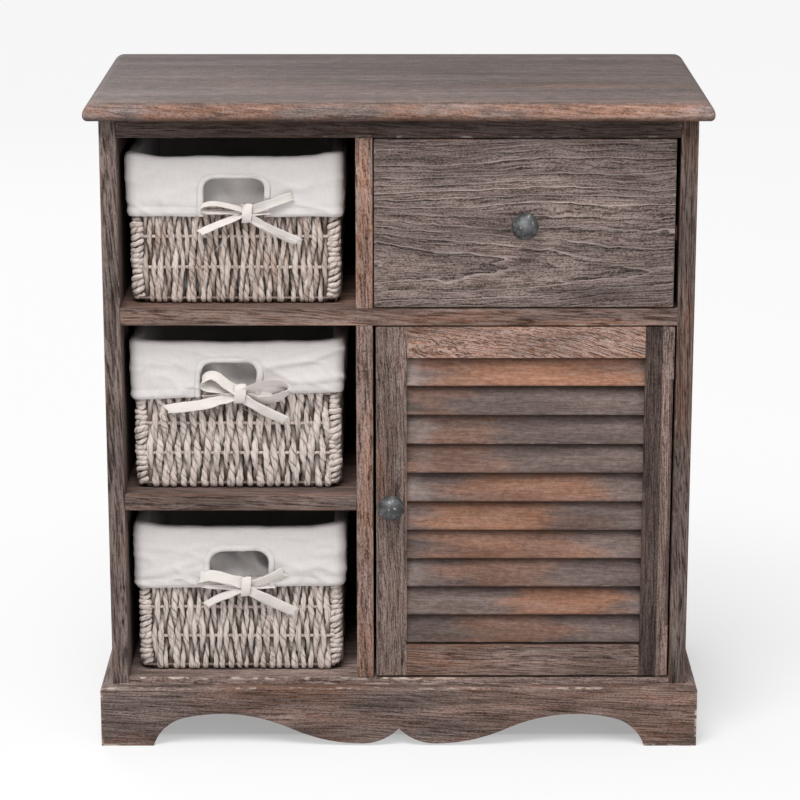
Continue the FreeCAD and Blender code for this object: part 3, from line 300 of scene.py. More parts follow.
    # How dark the board is, from place to place.
    age = patch.fit(0.25, 0.75, tone * (1.04 + 0.20 * clouds), tone * (1.04 - 0.22 * clouds))
    age = age * (cloud * (-1.5 * clouds) + (1 + 0.75 * clouds))
    # A worn front is lighter at its rubbed edge, and its face is painted lighter toward the front, as light
    # falls off toward the back.
    if worn_and_lit_front:
        age = age * (at_front * 0.30 + (lit_toward_front * 0.54 + 0.80))
    if dapple:
        spots = place.mottle((dapple[1], dapple[2], dapple[2]), 3.0).ease(0.30, 0.70)
        age = age * (spots * (2 * dapple[0]) + (1 - dapple[0]))
    if split:
        beyond = axes[0].ease(split[0] - middle.x - 0.0008, split[0] - middle.x + 0.0008)
        age = age * (beyond * (1.0 - split[1]) + split[1])
    colour = colour * joined(tree, age, age, age)
    # Painted shade: a band of height, measured from the board's foot, darkened to a warm brown: the upper
    # part of each slat, under the slat above, and the lower part of the top board's edge.
    if grime:
        in_shade = axes[2].ease(-half.z + grime[0], -half.z + grime[1])
        colour = (in_shade * 0.84).tint(colour, SHADE_BROWN)
    height = fibre * 0.6 + (line * (0.8 * lines) - pore * 0.8)
    give(shader, {"Base Color": colour, "Roughness": fibre.fit(0.0, 1.0, 0.52, 0.76),
                  "Specular IOR Level": 0.13, "Normal": height.relief(0.45 * figure, 0.0005)})
    return finish


def dress(finish, *names):
    """Put a finish on pieces of the frame."""
    for name in names:
        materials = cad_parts[name].data.materials
        materials.clear()
        materials.append(finish)


def soften(name, width):
    """Take the sharpness off a piece's arrises."""
    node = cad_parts[name]
    weld = node.modifiers.new("joined_faces", "WELD")
    weld.merge_threshold = 0.00001
    bevel = node.modifiers.new("eased_arris", "BEVEL")
    bevel.width = width
    bevel.segments = 2
    bevel.limit_method = "ANGLE"
    bevel.angle_limit = math.radians(40)
    bevel.use_clamp_overlap = True


def stain_boards(first, looks, arris=0.0010, **shared):
    """Finish a group of boards, numbered from the first, and ease their arrises."""
    for seed, (name, look) in enumerate(looks.items(), first):
        dress(washed_wood(name, seed, **shared, **look), name)
        if arris:
            soften(name, arris)


stain_boards(1, {
    "left_side_panel": dict(order="zyx", warm=0.32, tone=0.66, figure=1.2, heart=(0.10, 0.05), flecks=0.4),
    "right_side_panel": dict(order="zyx", warm=0.50, tone=0.48, figure=1.2, heart=(-0.08, 0.05), flecks=0.4,
                             blush=0.22),
    "bottom_board": dict(order="xyz", warm=0.46, tone=1.14, chips=0.8, chipped=0.055, blush=0.2),
    "mid_shelf": dict(order="xyz", warm=0.62, tone=0.71, blush=0.40, flecks=0.4),
    "basket_shelf": dict(order="xyz", warm=0.50, tone=0.56, blush=0.38, flecks=0.4),
    "upper_divider": dict(order="zyx", warm=0.85, tone=1.0),
    "lower_divider": dict(order="zyx", warm=0.80, tone=0.85, blush=0.34),
    # The front rail's low tone is partly painted shade: the shadow under the top board's overhang.
    "top_front_rail": dict(warm=0.30, tone=0.34, chips=1.0, chipped=0.03, flecks=0.6, blush=0.3),
    "top_rear_rail": dict(warm=0.30, tone=0.6),
})
stain_boards(10, {"back_panel": dict(order="zxy", warm=0.45, tone=0.52, figure=0.8)}, arris=None)

# Top board: one thick board, its ends and front rounded over to a thumbnail edge, screwed up from the rails.
# The grain runs from end to end, and the rounded edge has lost more of its stain than the face.
# Its face is painted lighter toward the front, as the light falls, and the lower part of its edge is darkened
# with painted shade.
TOP_LOOK = dict(order="xyz", warm=0.16, figure=0.48, ring=0.012, heart=(-0.03, 0.075), lean=(0.05, 0.06),
                tone=0.51, lines=0.16, blush=0.06, worn_and_lit_front=0.80, flecks=0.8, clouds=1.1, spread=2.4,
                grime=(0.0075, -0.0030), dapple=(0.22, 60, 220))
stain_boards(11, {"top_board": TOP_LOOK}, arris=None)

# Plinth: a scroll-cut apron in front and a plainer board with the same feet at each side, glued round the
# lower ends of the sides, with square glue blocks in the corners behind.
stain_boards(12, {
    "plinth_front": dict(warm=0.48, chips=1.0, chipped=0.06, tone=0.74, blush=0.16, clouds=1.5,
                         bare=(190, 150, 0.55)),
    "plinth_left": dict(order="yzx", warm=0.35, chips=0.9),
    "plinth_right": dict(order="yzx", warm=0.40, chips=0.9),
}, arris=None, ring=0.0050, heart=(-0.10, 0.02))
stain_boards(15, {"corner_blocks": dict(order="zxy", warm=0.80, tone=0.9)})

# Drawer: a washed front lapped on to plain planed sides, a back and a thin bottom in grooves. It slides on
# wooden strips that reach into grooves of its sides.
FRONT_LOOK = dict(warm=0.06, figure=1.15, ring=0.0056, fine=1.15, sway=0.030, heart=(-0.036, 0.053),
                  lean=(-0.045, 0.053), tone=0.80, lines=1.0, blush=0.10, flecks=1.2, strokes=0.80,
                  curl=(0.0034, 40), late_band=(0.62, 0.80))
stain_boards(16, {"drawer_front": FRONT_LOOK}, arris=0.0012)
stain_boards(17, {
    "drawer_left_side": dict(order="yzx"),
    "drawer_right_side": dict(order="yzx"),
    "drawer_back": {},
    "drawer_bottom": dict(order="xyz"),
    "drawer_runner_left": dict(order="yzx"),
    "drawer_runner_right": dict(order="yzx"),
}, arris=0.0006, warm=1.0, figure=0.55, tone=1.25, chips=0.1)

# Louvred door: stiles and rails joined with mortise and tenon, and ten thin slats in slots of the stiles.
# The slats are smooth; stain wore off them in soft orange patches, and some ends are frosted with wash.
stain_boards(23, {
    "door_knob_stile": dict(order="zxy", warm=0.38, tone=0.77, blush=0.27),
    "door_hinge_stile": dict(order="zxy", warm=0.40, tone=0.83, blush=0.34, split=(0.2655, 0.37)),
    "door_top_rail": dict(warm=0.80, figure=1.45, ring=0.0040, heart=(-0.03, 0.016), lean=(0.16, 0.10),
                          tone=1.12, lines=0.26, blush=0.90, sway=0.060, fine=1.3, curl=(0.0032, 90),
                          strokes=0.85),
    "door_bottom_rail": dict(warm=0.48, tone=0.78, blush=0.38, flecks=0.6),
})
SLAT_WEAR = ((-22, 62, 0.60), (45, 62, 1.00), (-30, 55, 0.55), (-25, 85, 0.82), (-35, 72, 1.00),
             (-5, 80, 0.80), (-80, 55, 0.48), (-62, 45, 0.55), (-95, 40, 0.46), (12, 118, 1.00))
SLAT_FROST = {10: (-115, 13, 0.62), 8: (-106, 17, 0.45), 7: (-102, 13, 0.28), 6: (-114, 15, 0.50),
              3: (-110, 11, 0.3)}
SLAT_TONE = (0.70, 0.78, 0.71, 0.74, 0.79, 0.76, 0.71, 0.71, 0.70, 0.93)
SLATS = {
    f"louvre_slat_{number:02d}": dict(bare=wear, tone=tone, frost=SLAT_FROST.get(number))
    for number, (wear, tone) in enumerate(zip(SLAT_WEAR, SLAT_TONE), start=1)
}
# Each slat's upper part is painted darker, for the shade under the slat above.
stain_boards(31, SLATS, arris=None, warm=0.10, figure=0.20, ring=0.016, heart=(0.03, 0.05), lines=0.10,
             grime=(0.0225, 0.0300), flecks=0.34, blush=0.06, clouds=0.85, dapple=(0.16, 140, 300))


# Knobs: turned metal mushrooms with a dark pewter finish, rubbed a little brighter on the crown, each held by
# a zinc-plated screw from behind. The screws, pivot pins and strike plate have the same bright plating.
def tarnished_metal(name, dark, bright, glint, rough, scale):
    """A metal finish with a cloudy tarnish, and bright spots that are partly chafed metal, partly painted
    glints.
    """
    finish, tree, shader = new_finish(name)
    place = where(tree)
    tarnish = place.mottle((scale,) * 3, 5.0)
    chafe_and_glint = place.mottle((scale * 2.6,) * 3)
    speck = place.mottle((scale * 6,) * 3, 3.0)
    colour = chafe_and_glint.ease(0.62, 0.70).tint(tarnish.ease(0.38, 0.72).tint(dark, bright), glint)
    give(shader, {"Base Color": colour, "Roughness": speck.fit(0.0, 1.0, rough - 0.10, rough + 0.12),
                  "Metallic": 0.85, "Normal": speck.relief(0.25, 0.0003)})
    return finish


pewter = tarnished_metal("dark_pewter", (0.074, 0.075, 0.077, 1), (0.175, 0.177, 0.180, 1),
                         (0.34, 0.345, 0.35, 1), rough=0.66, scale=110)
dress(pewter, "door_knob", "drawer_knob")
zinc = tarnished_metal("zinc_plate", (0.42, 0.42, 0.40, 1), (0.62, 0.61, 0.58, 1), (0.68, 0.67, 0.64, 1),
                       rough=0.36, scale=220)
dress(zinc, "top_fixing_screws", "back_panel_screws", "door_knob_screw", "drawer_knob_screw",
      "door_pivot_pins", "door_strike_plate")
soften("door_strike_plate", 0.0003)

# Catch and pivot bushes: small moulded pieces of brown plastic. The catch is screwed up under the middle
# shelf, and the flanged bushes are pressed into that shelf and the bottom board, round the door's pins.
moulded, moulded_tree, moulded_shader = new_finish("brown_moulding")
moulded_grain = read(moulded_tree, "TexNoise", {"Scale": 900.0, "Detail": 2.0})
moulded_colour = moulded_grain.tint((0.040, 0.024, 0.016, 1), (0.070, 0.043, 0.029, 1))
give(moulded_shader, {"Base Color": moulded_colour, "Roughness": 0.5})
dress(moulded, "door_catch", "door_pivot_bushes")
soften("door_catch", 0.0006)

# Woven baskets: lengths of twisted paper rope run down the front, under the floor and up the back, before and
# behind level rods by turns; shorter ones close the sides. Each corner is a stake wrapped with the same rope.
# The rope was washed pale after weaving, so its hollows stayed brown.
# Part of that brown is painted shade: deep in the weave, in the grooves and on each rope's inner side.
ROPE_SIDES = 10
ROPE_PITCH = {1: 0.0037, 2: 0.0048, 3: 0.0042}
ROPE_SWING = 0.0017
ROPE_LAY = 0.0062
ROPE_TOP, ROPE_FOOT, ROPE_SOLE = 0.003, 0.0048, 0.0021
ROPE_STEP, SEEN_STEP, SEEN_BELOW = 0.0036, 0.0013, 0.104
UNEVEN = 0.0004
ROD_FOOT, ROD_GAP = 0.0055, 0.0315
ROD_LEVELS = ROD_FOOT + ROD_GAP * np.arange(5)
WALL = 0.006
STAKE_INSET = 0.0072
STAKE_CLEAR = 0.0082
WRAP_TOP, WRAP_FOOT, WRAP_RISE = 0.007, 0.0034, 0.0060
WRAP_REACH, WRAP_WIDE, WRAP_THICK = 0.0046, 0.0031, 0.0027
# A wrapped stake is tucked in at its foot and thinner under the cuff.
TUCK, TUCK_HEIGHT = 0.0050, 0.0200
CUFFED, CUFFED_SHARE = 0.084, 0.68
# Half the width and half the thickness of the ropes that aren't woven.
ROD, STAKE, STUB = (0.0018, 0.0018), (0.0032, 0.0032), (0.0022, 0.0018)
SILL, RIM, HAIR = (0.0026, 0.0032), (0.0024, 0.0027), (0.00028, 0.00028)
RIM_ROUND, RIM_STEP = 0.013, 0.004
HOLE_LOW, HOLE_HIGH, HOLE_HALF = 0.0995, 0.1350, 0.0345
CUFF_LIFT = {1: -0.0040, 2: -0.0006, 3: 0.0028}
SHADE_AND_WASH_FROM, SHADE_AND_WASH_DEPTH = -0.0018, 0.0050
PALE_ROPE = (0.655, 0.570, 0.525, 1)
TAN_ROPE = (0.40, 0.290, 0.235, 1)
ROPE_TONES = {1: (0.34, 0.66), 2: (0.08, 0.44), 3: (0.0, 0.36)}
BROWN_ROPE = (0.050, 0.031, 0.022, 1)
UP = Vector((0, 0, 1))
RIGHT, LEFT, BACK, FRONT = Vector((1, 0, 0)), Vector((-1, 0, 0)), Vector((0, 1, 0)), Vector((0, -1, 0))


def paper_rope(name):
    """Twisted paper, pale outside, brown in its hollows with painted shade, by the marks on the ropes."""
    finish, tree, shader = new_finish(name)
    lay = read(tree, "Attribute", (), "Vector", True, attribute_name="rope_lay")
    wash_and_shade = read(tree, "Attribute", (), "Fac", attribute_name="rope_wash_and_shade")
    tone = read(tree, "Attribute", (), "Fac", attribute_name="rope_tone")
    lay_x, lay_y, run = lay.parts()
    half_turns = lay_y.step("ARCTAN2", lay_x) / math.pi
    ply = (half_turns - run / ROPE_LAY).step("FRACT")
    groove = 1.0 - (ply - 0.5).step("ABSOLUTE").ease(0.03, 0.15)
    place = lay * (0.003, 0.003, 1) + joined(tree, tone, 0.0, tone)
    hair = place.mottle((900, 900, 130), 3.0)
    cloud = place.mottle((90, 90, 55))
    colour = (cloud * 0.9 + (tone - 0.45)).ease(0.15, 0.95).tint(PALE_ROPE, TAN_ROPE)
    colour = (hair.ease(0.48, 0.68) * 0.46).tint(colour, BROWN_ROPE)
    # Brown in patches along the grooves between plies: partly the hollows' own colour, partly painted shade.
    colour = (groove * cloud.ease(0.40, 0.66) * 0.66).tint(colour, BROWN_ROPE)
    # Brown below the weave's surface: partly rope left unwashed, partly painted shade between and behind the
    # ropes.
    colour = wash_and_shade.ease(0.22, 0.86).tint(BROWN_ROPE, colour)
    # Painted shade: each rope is darker on the side that faces in, away from the light.
    colour = (lay_y.ease(0.50, -0.10) * 0.50).tint(colour, BROWN_ROPE)
    give(shader, {"Base Color": colour, "Roughness": 0.78, "Specular IOR Level": 0.22,
                  "Normal": (hair * 0.5 - groove).relief(0.6, 0.0007)})
    return finish


rope_finish = paper_rope("washed_paper_rope")


def tube(rows, sides, first, shut=False):
    """The faces of a tube from rings of points, closed at both ends, or shut end to end."""
    faces = []
    for row in range(rows if shut else rows - 1):
        here, ahead = first + row * sides, first + (row + 1) % rows * sides
        for side, after in zip(range(sides), (*range(1, sides), 0)):
            faces.append((here + side, here + after, ahead + after, ahead + side))
    if not shut:
        last = first + (rows - 1) * sides
        faces += [tuple(range(first + sides - 1, first - 1, -1)), tuple(range(last, last + sides))]
    return faces


class RopeWork:
    """The ropes of one basket, gathered into one mesh."""

    def __init__(self):
        self.ropes, self.faces, self.count = [], [], 0

    def add(self, path, outward, wide, thick, tone, stands, ply=0.0, lay=ROPE_LAY):
        """Lay a rope along a path. Its sizes are halves; stands is how far out it lies."""
        path = np.array([tuple(point) for point in path], float)
        outward = np.broadcast_to(np.array(outward, float), path.shape)
        steps = len(path)
        wide, thick, stands = (np.broadcast_to(size, steps)[:, None] for size in (wide, thick, stands))
        tangent = np.gradient(path, axis=0)
        tangent /= np.linalg.norm(tangent, axis=1)[:, None]
        side = np.cross(tangent, outward)
        side /= np.linalg.norm(side, axis=1)[:, None]
        out = np.cross(side, tangent)
        run = np.concatenate([[0], np.cumsum(np.linalg.norm(np.diff(path, axis=0), axis=1))])[:, None]
        angle = np.arange(ROPE_SIDES) * 2 * math.pi / ROPE_SIDES
        cos, sin = np.cos(angle), np.sin(angle)
        lobes = np.cos(2 * angle - 2 * math.pi * run / lay)
        lobes += 1.1 * np.cos(3 * angle + 410 * run + self.count) * np.sin(300 * run + self.count)
        lobes = 1 + ply * (lobes + 0.9 * np.cos(angle - 560 * run + 2 * self.count))
        across = (wide * lobes * cos)[:, :, None] * side[:, None, :]
        away = (thick * lobes * sin)[:, :, None] * out[:, None, :]
        points = path[:, None, :] + across + away
        lays = np.stack(np.broadcast_arrays(cos, sin, run * ROPE_LAY / lay), axis=2)
        # Paleness by how far out a point lies: brown deeper in, partly unwashed rope and partly painted
        # shade.
        washes_and_shades = np.clip((stands + thick * sin - SHADE_AND_WASH_FROM) / SHADE_AND_WASH_DEPTH, 0, 1)
        marks = lays.reshape(-1, 3), washes_and_shades.ravel(), np.full(washes_and_shades.size, tone)
        self.ropes.append((points.reshape(-1, 3), *marks))
        self.faces += [face[:1] + face[:0:-1] for face in tube(steps, ROPE_SIDES, self.count)]
        self.count += steps * ROPE_SIDES

    def piece(self, name):
        """The finished mesh, with the marks that its finish reads."""
        points, lays, washes_and_shades, tones = (np.concatenate(column) for column in zip(*self.ropes))
        piece = link_mesh(name, points.tolist(), self.faces, rope_finish)
        lay = piece.data.attributes.new("rope_lay", "FLOAT_VECTOR", "POINT")
        lay.data.foreach_set("vector", lays.astype(np.float32).ravel())
        for label, values in (("rope_wash_and_shade", washes_and_shades), ("rope_tone", tones)):
            mark = piece.data.attributes.new(label, "FLOAT", "POINT")
            mark.data.foreach_set("value", values.astype(np.float32))
        return piece


def heading(turn):
    """The direction of a turn, as two numbers."""
    return np.array((math.cos(turn), math.sin(turn)))


def round_box(half_x, half_y, corner, spacing):
    """Points round a rectangle with round corners, from the middle of its back, and their outward aims."""
    points, aims = [], []
    here = np.array((0.0, half_y))
    for x_side, y_side, start in ((1, 1, 90), (1, -1, 0), (-1, -1, -90), (-1, 1, -180), (0, 1, 90)):
        turns = np.radians(np.linspace(start, start - 90, max(3, int(corner * 1.571 / spacing) + 1)))
        aim = heading(turns[0])
        centre = np.array((x_side * (half_x - corner), y_side * (half_y - corner)))
        to = centre + corner * aim if x_side else np.array((0.0, half_y))
        for share in np.arange(0, 0.999, 1 / max(1, round(np.linalg.norm(to - here) / spacing))):
            points.append(here + (to - here) * share)
            aims.append(aim)
        for turn in turns[:-1] if x_side else ():
            aims.append(heading(turn))
            points.append(centre + corner * aims[-1])
        here = centre + corner * heading(turns[-1])
    return points, aims


def woven_basket(number):
    """The ropes of one basket, in the box of its shell."""
    luck = np.random.default_rng(40 + number)
    low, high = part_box(f"basket_{number}_weave")
    middle, half = (low + high) / 2, (high - low) / 2
    height, sunk = high.z - low.z, min(0, CUFF_LIFT[number])
    top = height - ROPE_TOP + sunk
    pitch = ROPE_PITCH[number]
    work = RopeWork()

    def dye():
        """How tan one rope is."""
        return luck.uniform(*ROPE_TONES[number])

    def on_wall(along, outward, places, levels, stands=0):
        """Points so far along a wall, so high, and so far out of the middle of its thickness."""
        reach = abs(outward.dot(half)) - WALL / 2
        return [Vector((middle.x, middle.y, low.z + level)) + outward * (reach + stand) + along * place
                for place, level, stand in np.broadcast(places, levels, stands)]

    def spaced(reach):
        """The places of a wall's ropes, and whether each begins before (1) or behind (-1) the rods."""
        run = reach - STAKE_INSET - STAKE_CLEAR
        places = np.linspace(-run, run, round(2 * run / pitch) + 1)
        return [(place, 1 if count % 2 else -1) for count, place in enumerate(places)]

    def upright(along, outward, place, side, start, fine):
        """One rope's line from the top of its wall to the turn under the floor, and how far out it lies."""
        levels = np.arange(start, ROPE_FOOT, -ROPE_STEP)
        if fine:
            seen = np.arange(min(start, SEEN_BELOW), ROPE_FOOT, -SEEN_STEP)
            levels = np.concatenate([levels[levels > SEEN_BELOW], seen])
        slip, lean, phase = luck.normal(0, 0.0036), luck.normal(0, 0.020), luck.uniform(0, 6)
        stands = side * ROPE_SWING * np.cos(math.pi * (levels - ROD_FOOT + slip) / ROD_GAP)
        places = place + lean * (levels - 0.060) + 0.0006 * np.sin(levels * 170 + phase)
        line = on_wall(along, outward, places, levels, stands)
        aims, stands = [outward] * len(line), list(stands)
        bend = line[-1].z - low.z - ROPE_SOLE
        centre = line[-1] - outward * bend
        for turn in np.radians((15, 30, 45, 60, 75, 90) if fine else (30, 60, 90)):
            aims.append(outward * math.cos(turn) - UP * math.sin(turn))
            line.append(centre + aims[-1] * bend)
            stands.append(stands[-1] * 0.92)
        return line, aims, stands

    def weave(line, aims, stands, ply):
        """Add one rope: broad in front of a rod, drawn in where ropes cross, flat behind it."""
        ahead = np.clip(np.array(stands) / ROPE_SWING, -1, 1)
        before, behind = np.clip(ahead, 0, 1), np.clip(-ahead, 0, 1)
        run = np.arange(len(stands))
        girth = luck.uniform(0.84, 1.22) + 0.07 * np.sin(run * luck.uniform(0.10, 0.26) + luck.uniform(0, 6))
        wide = girth * pitch * (0.43 + 0.29 * before ** 0.6) + 0.5 * pitch * behind
        thick = girth * (0.0016 + 0.0003 * before)
        work.add(line, aims, wide, thick, dye(), stands, ply, ROPE_LAY * luck.uniform(0.9, 2.4))

    for place, side in spaced(half.x):
        place += luck.normal(0, UNEVEN)
        in_hole = abs(place) < HOLE_HALF
        line, aims, stands = upright(RIGHT, FRONT, place, side, HOLE_LOW if in_hole else top, True)
        rear, rear_aims, rear_stands = upright(RIGHT, BACK, place, side, top, False)
        under = [line[-1].lerp(rear[-1], float(share)) for share in np.linspace(0, 1, 30)[1:-1]]
        line += under + rear[::-1]
        aims += [-UP] * len(under) + rear_aims[::-1]
        stands += [-0.0004] * len(under) + rear_stands[::-1]
        weave(line, aims, stands, 0.07)
        if in_hole:
            stub = on_wall(RIGHT, FRONT, place, np.arange(HOLE_HIGH + 0.002, top, 0.004))
            work.add(stub, FRONT, *STUB, dye(), 0)
    for outward, along in ((LEFT, FRONT), (RIGHT, BACK)):
        for place, side in spaced(half.y):
            weave(*upright(along, outward, place + luck.normal(0, UNEVEN), side, top, False), 0.0)

    walls = ((FRONT, RIGHT, half.x), (BACK, RIGHT, half.x), (LEFT, BACK, half.y), (RIGHT, BACK, half.y))
    for level in ROD_LEVELS:
        for outward, along, reach in walls:
            ends = reach - STAKE_INSET
            cut = outward is FRONT and HOLE_LOW < level < HOLE_HIGH
            for start, end in ((-ends, -HOLE_HALF), (HOLE_HALF, ends)) if cut else ((-ends, ends),):
                rod = on_wall(along, outward, np.linspace(start, end, 12), level)
                # The lowest rod lies deeper in, so the painted depth shade browns it.
                work.add(rod, outward, *ROD, 0.5, -0.001 if level < 0.01 else 0.0014)

    for x_side, y_side in ((-1, -1), (1, -1), (1, 1), (-1, 1)):
        turns = (height - WRAP_TOP + sunk) / WRAP_RISE
        steps = np.linspace(0, turns, int(turns * 16))
        around = 2 * math.pi * steps
        swell = 1 + 0.09 * np.sin(steps * 2.1 + luck.uniform(0, 6)) + 0.06 * np.sin(steps * 5.3)
        levels = WRAP_FOOT + WRAP_RISE * steps + 0.0015 * np.sin(around * 1.13 + luck.uniform(0, 6))
        stands = 0.0006 - STAKE_INSET - TUCK * np.clip((TUCK_HEIGHT - levels) / TUCK_HEIGHT, 0, 1) ** 2
        axis = np.stack([middle.x + x_side * (half.x + stands), middle.y + y_side * (half.y + stands),
                         low.z + levels], 1)
        round_aim = np.stack([np.cos(around), np.sin(around), 0 * steps], 1)
        girth = 1 + 0.14 * np.sin(steps * 1.3 + luck.uniform(0, 6))
        swell *= np.where(levels > CUFFED, CUFFED_SHARE, 1.0)
        wrap = axis + round_aim * (WRAP_REACH * swell)[:, None]
        work.add(wrap, round_aim, WRAP_WIDE * girth, WRAP_THICK * girth, 0.6 * dye(), 0.0008, 0.06)
        work.add(np.linspace(axis[0], axis[-1], 8), FRONT, *STAKE, 0.2, -0.003)

    sill = on_wall(RIGHT, FRONT, np.linspace(-HOLE_HALF, HOLE_HALF, 50), HOLE_LOW - 0.0005)
    work.add(sill, FRONT, *SILL, 0.6, 0.001, 0.08)
    rim_low, rim_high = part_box(f"basket_{number}_rim")
    reach = (rim_high - rim_low) / 2 - Vector((WALL / 2, WALL / 2, 0))
    rim_points, rim_aims = round_box(reach.x, reach.y, RIM_ROUND, RIM_STEP)
    rim_level = rim_low.z - 0.0004 + sunk
    rim = [(middle.x + x, middle.y + y, rim_level) for x, y in rim_points + rim_points[:1]]
    work.add(rim, [(x, y, 0) for x, y in rim_aims + rim_aims[:1]], *RIM, 0.5, 0.0, 0.05)

    for _ in range(7):
        place, level = luck.uniform(-0.085, 0.085), luck.uniform(0.03, 0.085)
        reach, drop = luck.normal(0, 0.010), luck.uniform(0.010, 0.024)
        share = np.linspace(0, 1, 9)
        stands = 0.0034 + 0.003 * np.sin(math.pi * share)
        fibre = on_wall(RIGHT, FRONT, place + reach * share, level - drop * share, stands)
        work.add(fibre, FRONT, *HAIR, 0.0, 0.004)
    return work.piece(f"basket_{number}_ropework")


for number in (1, 2, 3):
    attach(woven_basket(number), f"basket_{number}")
    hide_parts(f"basket_{number}_weave", f"basket_{number}_rim")

# Liners: a bag of off-white cotton in each basket, turned over the rim as a cuff whose hem cases a tape.
# A notch in the cuff, bound with tape and stitched, leaves the hand hole open; the bag hangs slack behind it.
FLARE = 0.0025
CUFF_STEP = 0.0030
CUFF_ROUND = 0.0028
CUFF_STAND = 0.0028
CUFF_TOP = 0.1492
NOTCH_HALF, NOTCH_TOP, NOTCH_ROUND = 0.0315, 0.1322, 0.0150
NOTCH_CORE_X, NOTCH_CORE_Z = NOTCH_HALF - NOTCH_ROUND, NOTCH_TOP - NOTCH_ROUND
CASING = 0.0100
CASED = 0.0116
CLOTH_THICK = 0.0007
BAG_FLOOR = 0.0088
# The level and slope of each cuff's edge, how far its rim sags and its bag hangs in, how far its bow tugs it,
# shifts its notch and heaves it up, and its folds, from one place to another, with how far they rise.
CUFFS = {
    1: dict(edge=0.0898, slope=-0.004, sag=0.0036, bag=0.007, tug=0.002,
            folds=((0.050, 0.118, 0.100, 0.128, 0.0010), (-0.095, 0.108, -0.050, 0.104, 0.0008))),
    2: dict(edge=0.0985, slope=0.040, sag=0.0030, bag=0.010, tug=0.008, shift=-0.007, heave=0.0034,
            folds=((0.040, 0.128, 0.104, 0.149, 0.0026), (0.050, 0.112, 0.102, 0.118, 0.0014),
                   (-0.100, 0.135, -0.045, 0.131, 0.0012))),
    3: dict(edge=0.0918, slope=0.012, sag=0.0046, bag=0.030, tug=0.002,
            folds=((-0.090, 0.104, -0.046, 0.119, 0.0014), (0.044, 0.108, 0.085, 0.116, 0.0012))),
}
# The rows of the sheet, from inside the hem to the foot of the bag, as how far out of the wall and how high.
# Rows of the hem and the cuff are so high above the cuff's edge, the others above the floor. Where a row is
# only a height, wrinkles say how far out it lies. A turn's third number is its share of the wrinkles.
SHEET = {
    "hem": ((0.0016, 0.0080), (0.0015, 0.0040), (0.0018, 0.0013), (0.0028, 0.0001)),
    "cuff": (*np.linspace(0.0006, CASED, 9), *np.linspace(0.0146, 0.060, 17)),
    "turn": ((0.0038, 0.1528, 0.7), (0.0034, 0.1552, 0.4), (0.0024, 0.1569, 0.0)),
    "rim": ((0.0006, 0.1576), (-0.0016, 0.1576), (-0.0042, 0.1573), (-0.0066, 0.1562), (-0.0081, 0.1540)),
    "bag": np.linspace(0.148, 0.0140, 30),
    "foot": ((-0.0098, 0.0108), (-0.0125, BAG_FLOOR)),
}


def woven_cotton(name, white, shade):
    """A plain cotton finish with slubs of uneven yarn."""
    finish, tree, shader = new_finish(name)
    place = where(tree)
    yarn = (place.mottle((70, 70, 1500)) + place.mottle((1500, 1500, 70))) * 0.5
    share = yarn.ease(0.42, 0.60) * 0.45 + place.mottle((26, 26, 26), 3.0) * 0.55
    give(shader, {"Base Color": share.tint(white, shade), "Roughness": 0.88, "Specular IOR Level": 0.15,
                  "Sheen Weight": 0.12, "Normal": yarn.relief(0.30, 0.0004)})
    return finish


cotton = woven_cotton("off_white_cotton", (0.690, 0.656, 0.646, 1), (0.60, 0.565, 0.552, 1))


def off_core(x, level):
    """How far a place on the front lies from the notch's core. The edge is a corner's radius off the core."""
    return x - max(-NOTCH_CORE_X, min(NOTCH_CORE_X, x)), max(0, level - NOTCH_CORE_Z)


def hump(off, reach):
    """1 at the middle of a soft hump, and next to nothing at twice its reach."""
    return math.exp(-((off / reach) ** 2))


def held(share):
    """A share, kept between none and all."""
    return min(1, max(0, share))


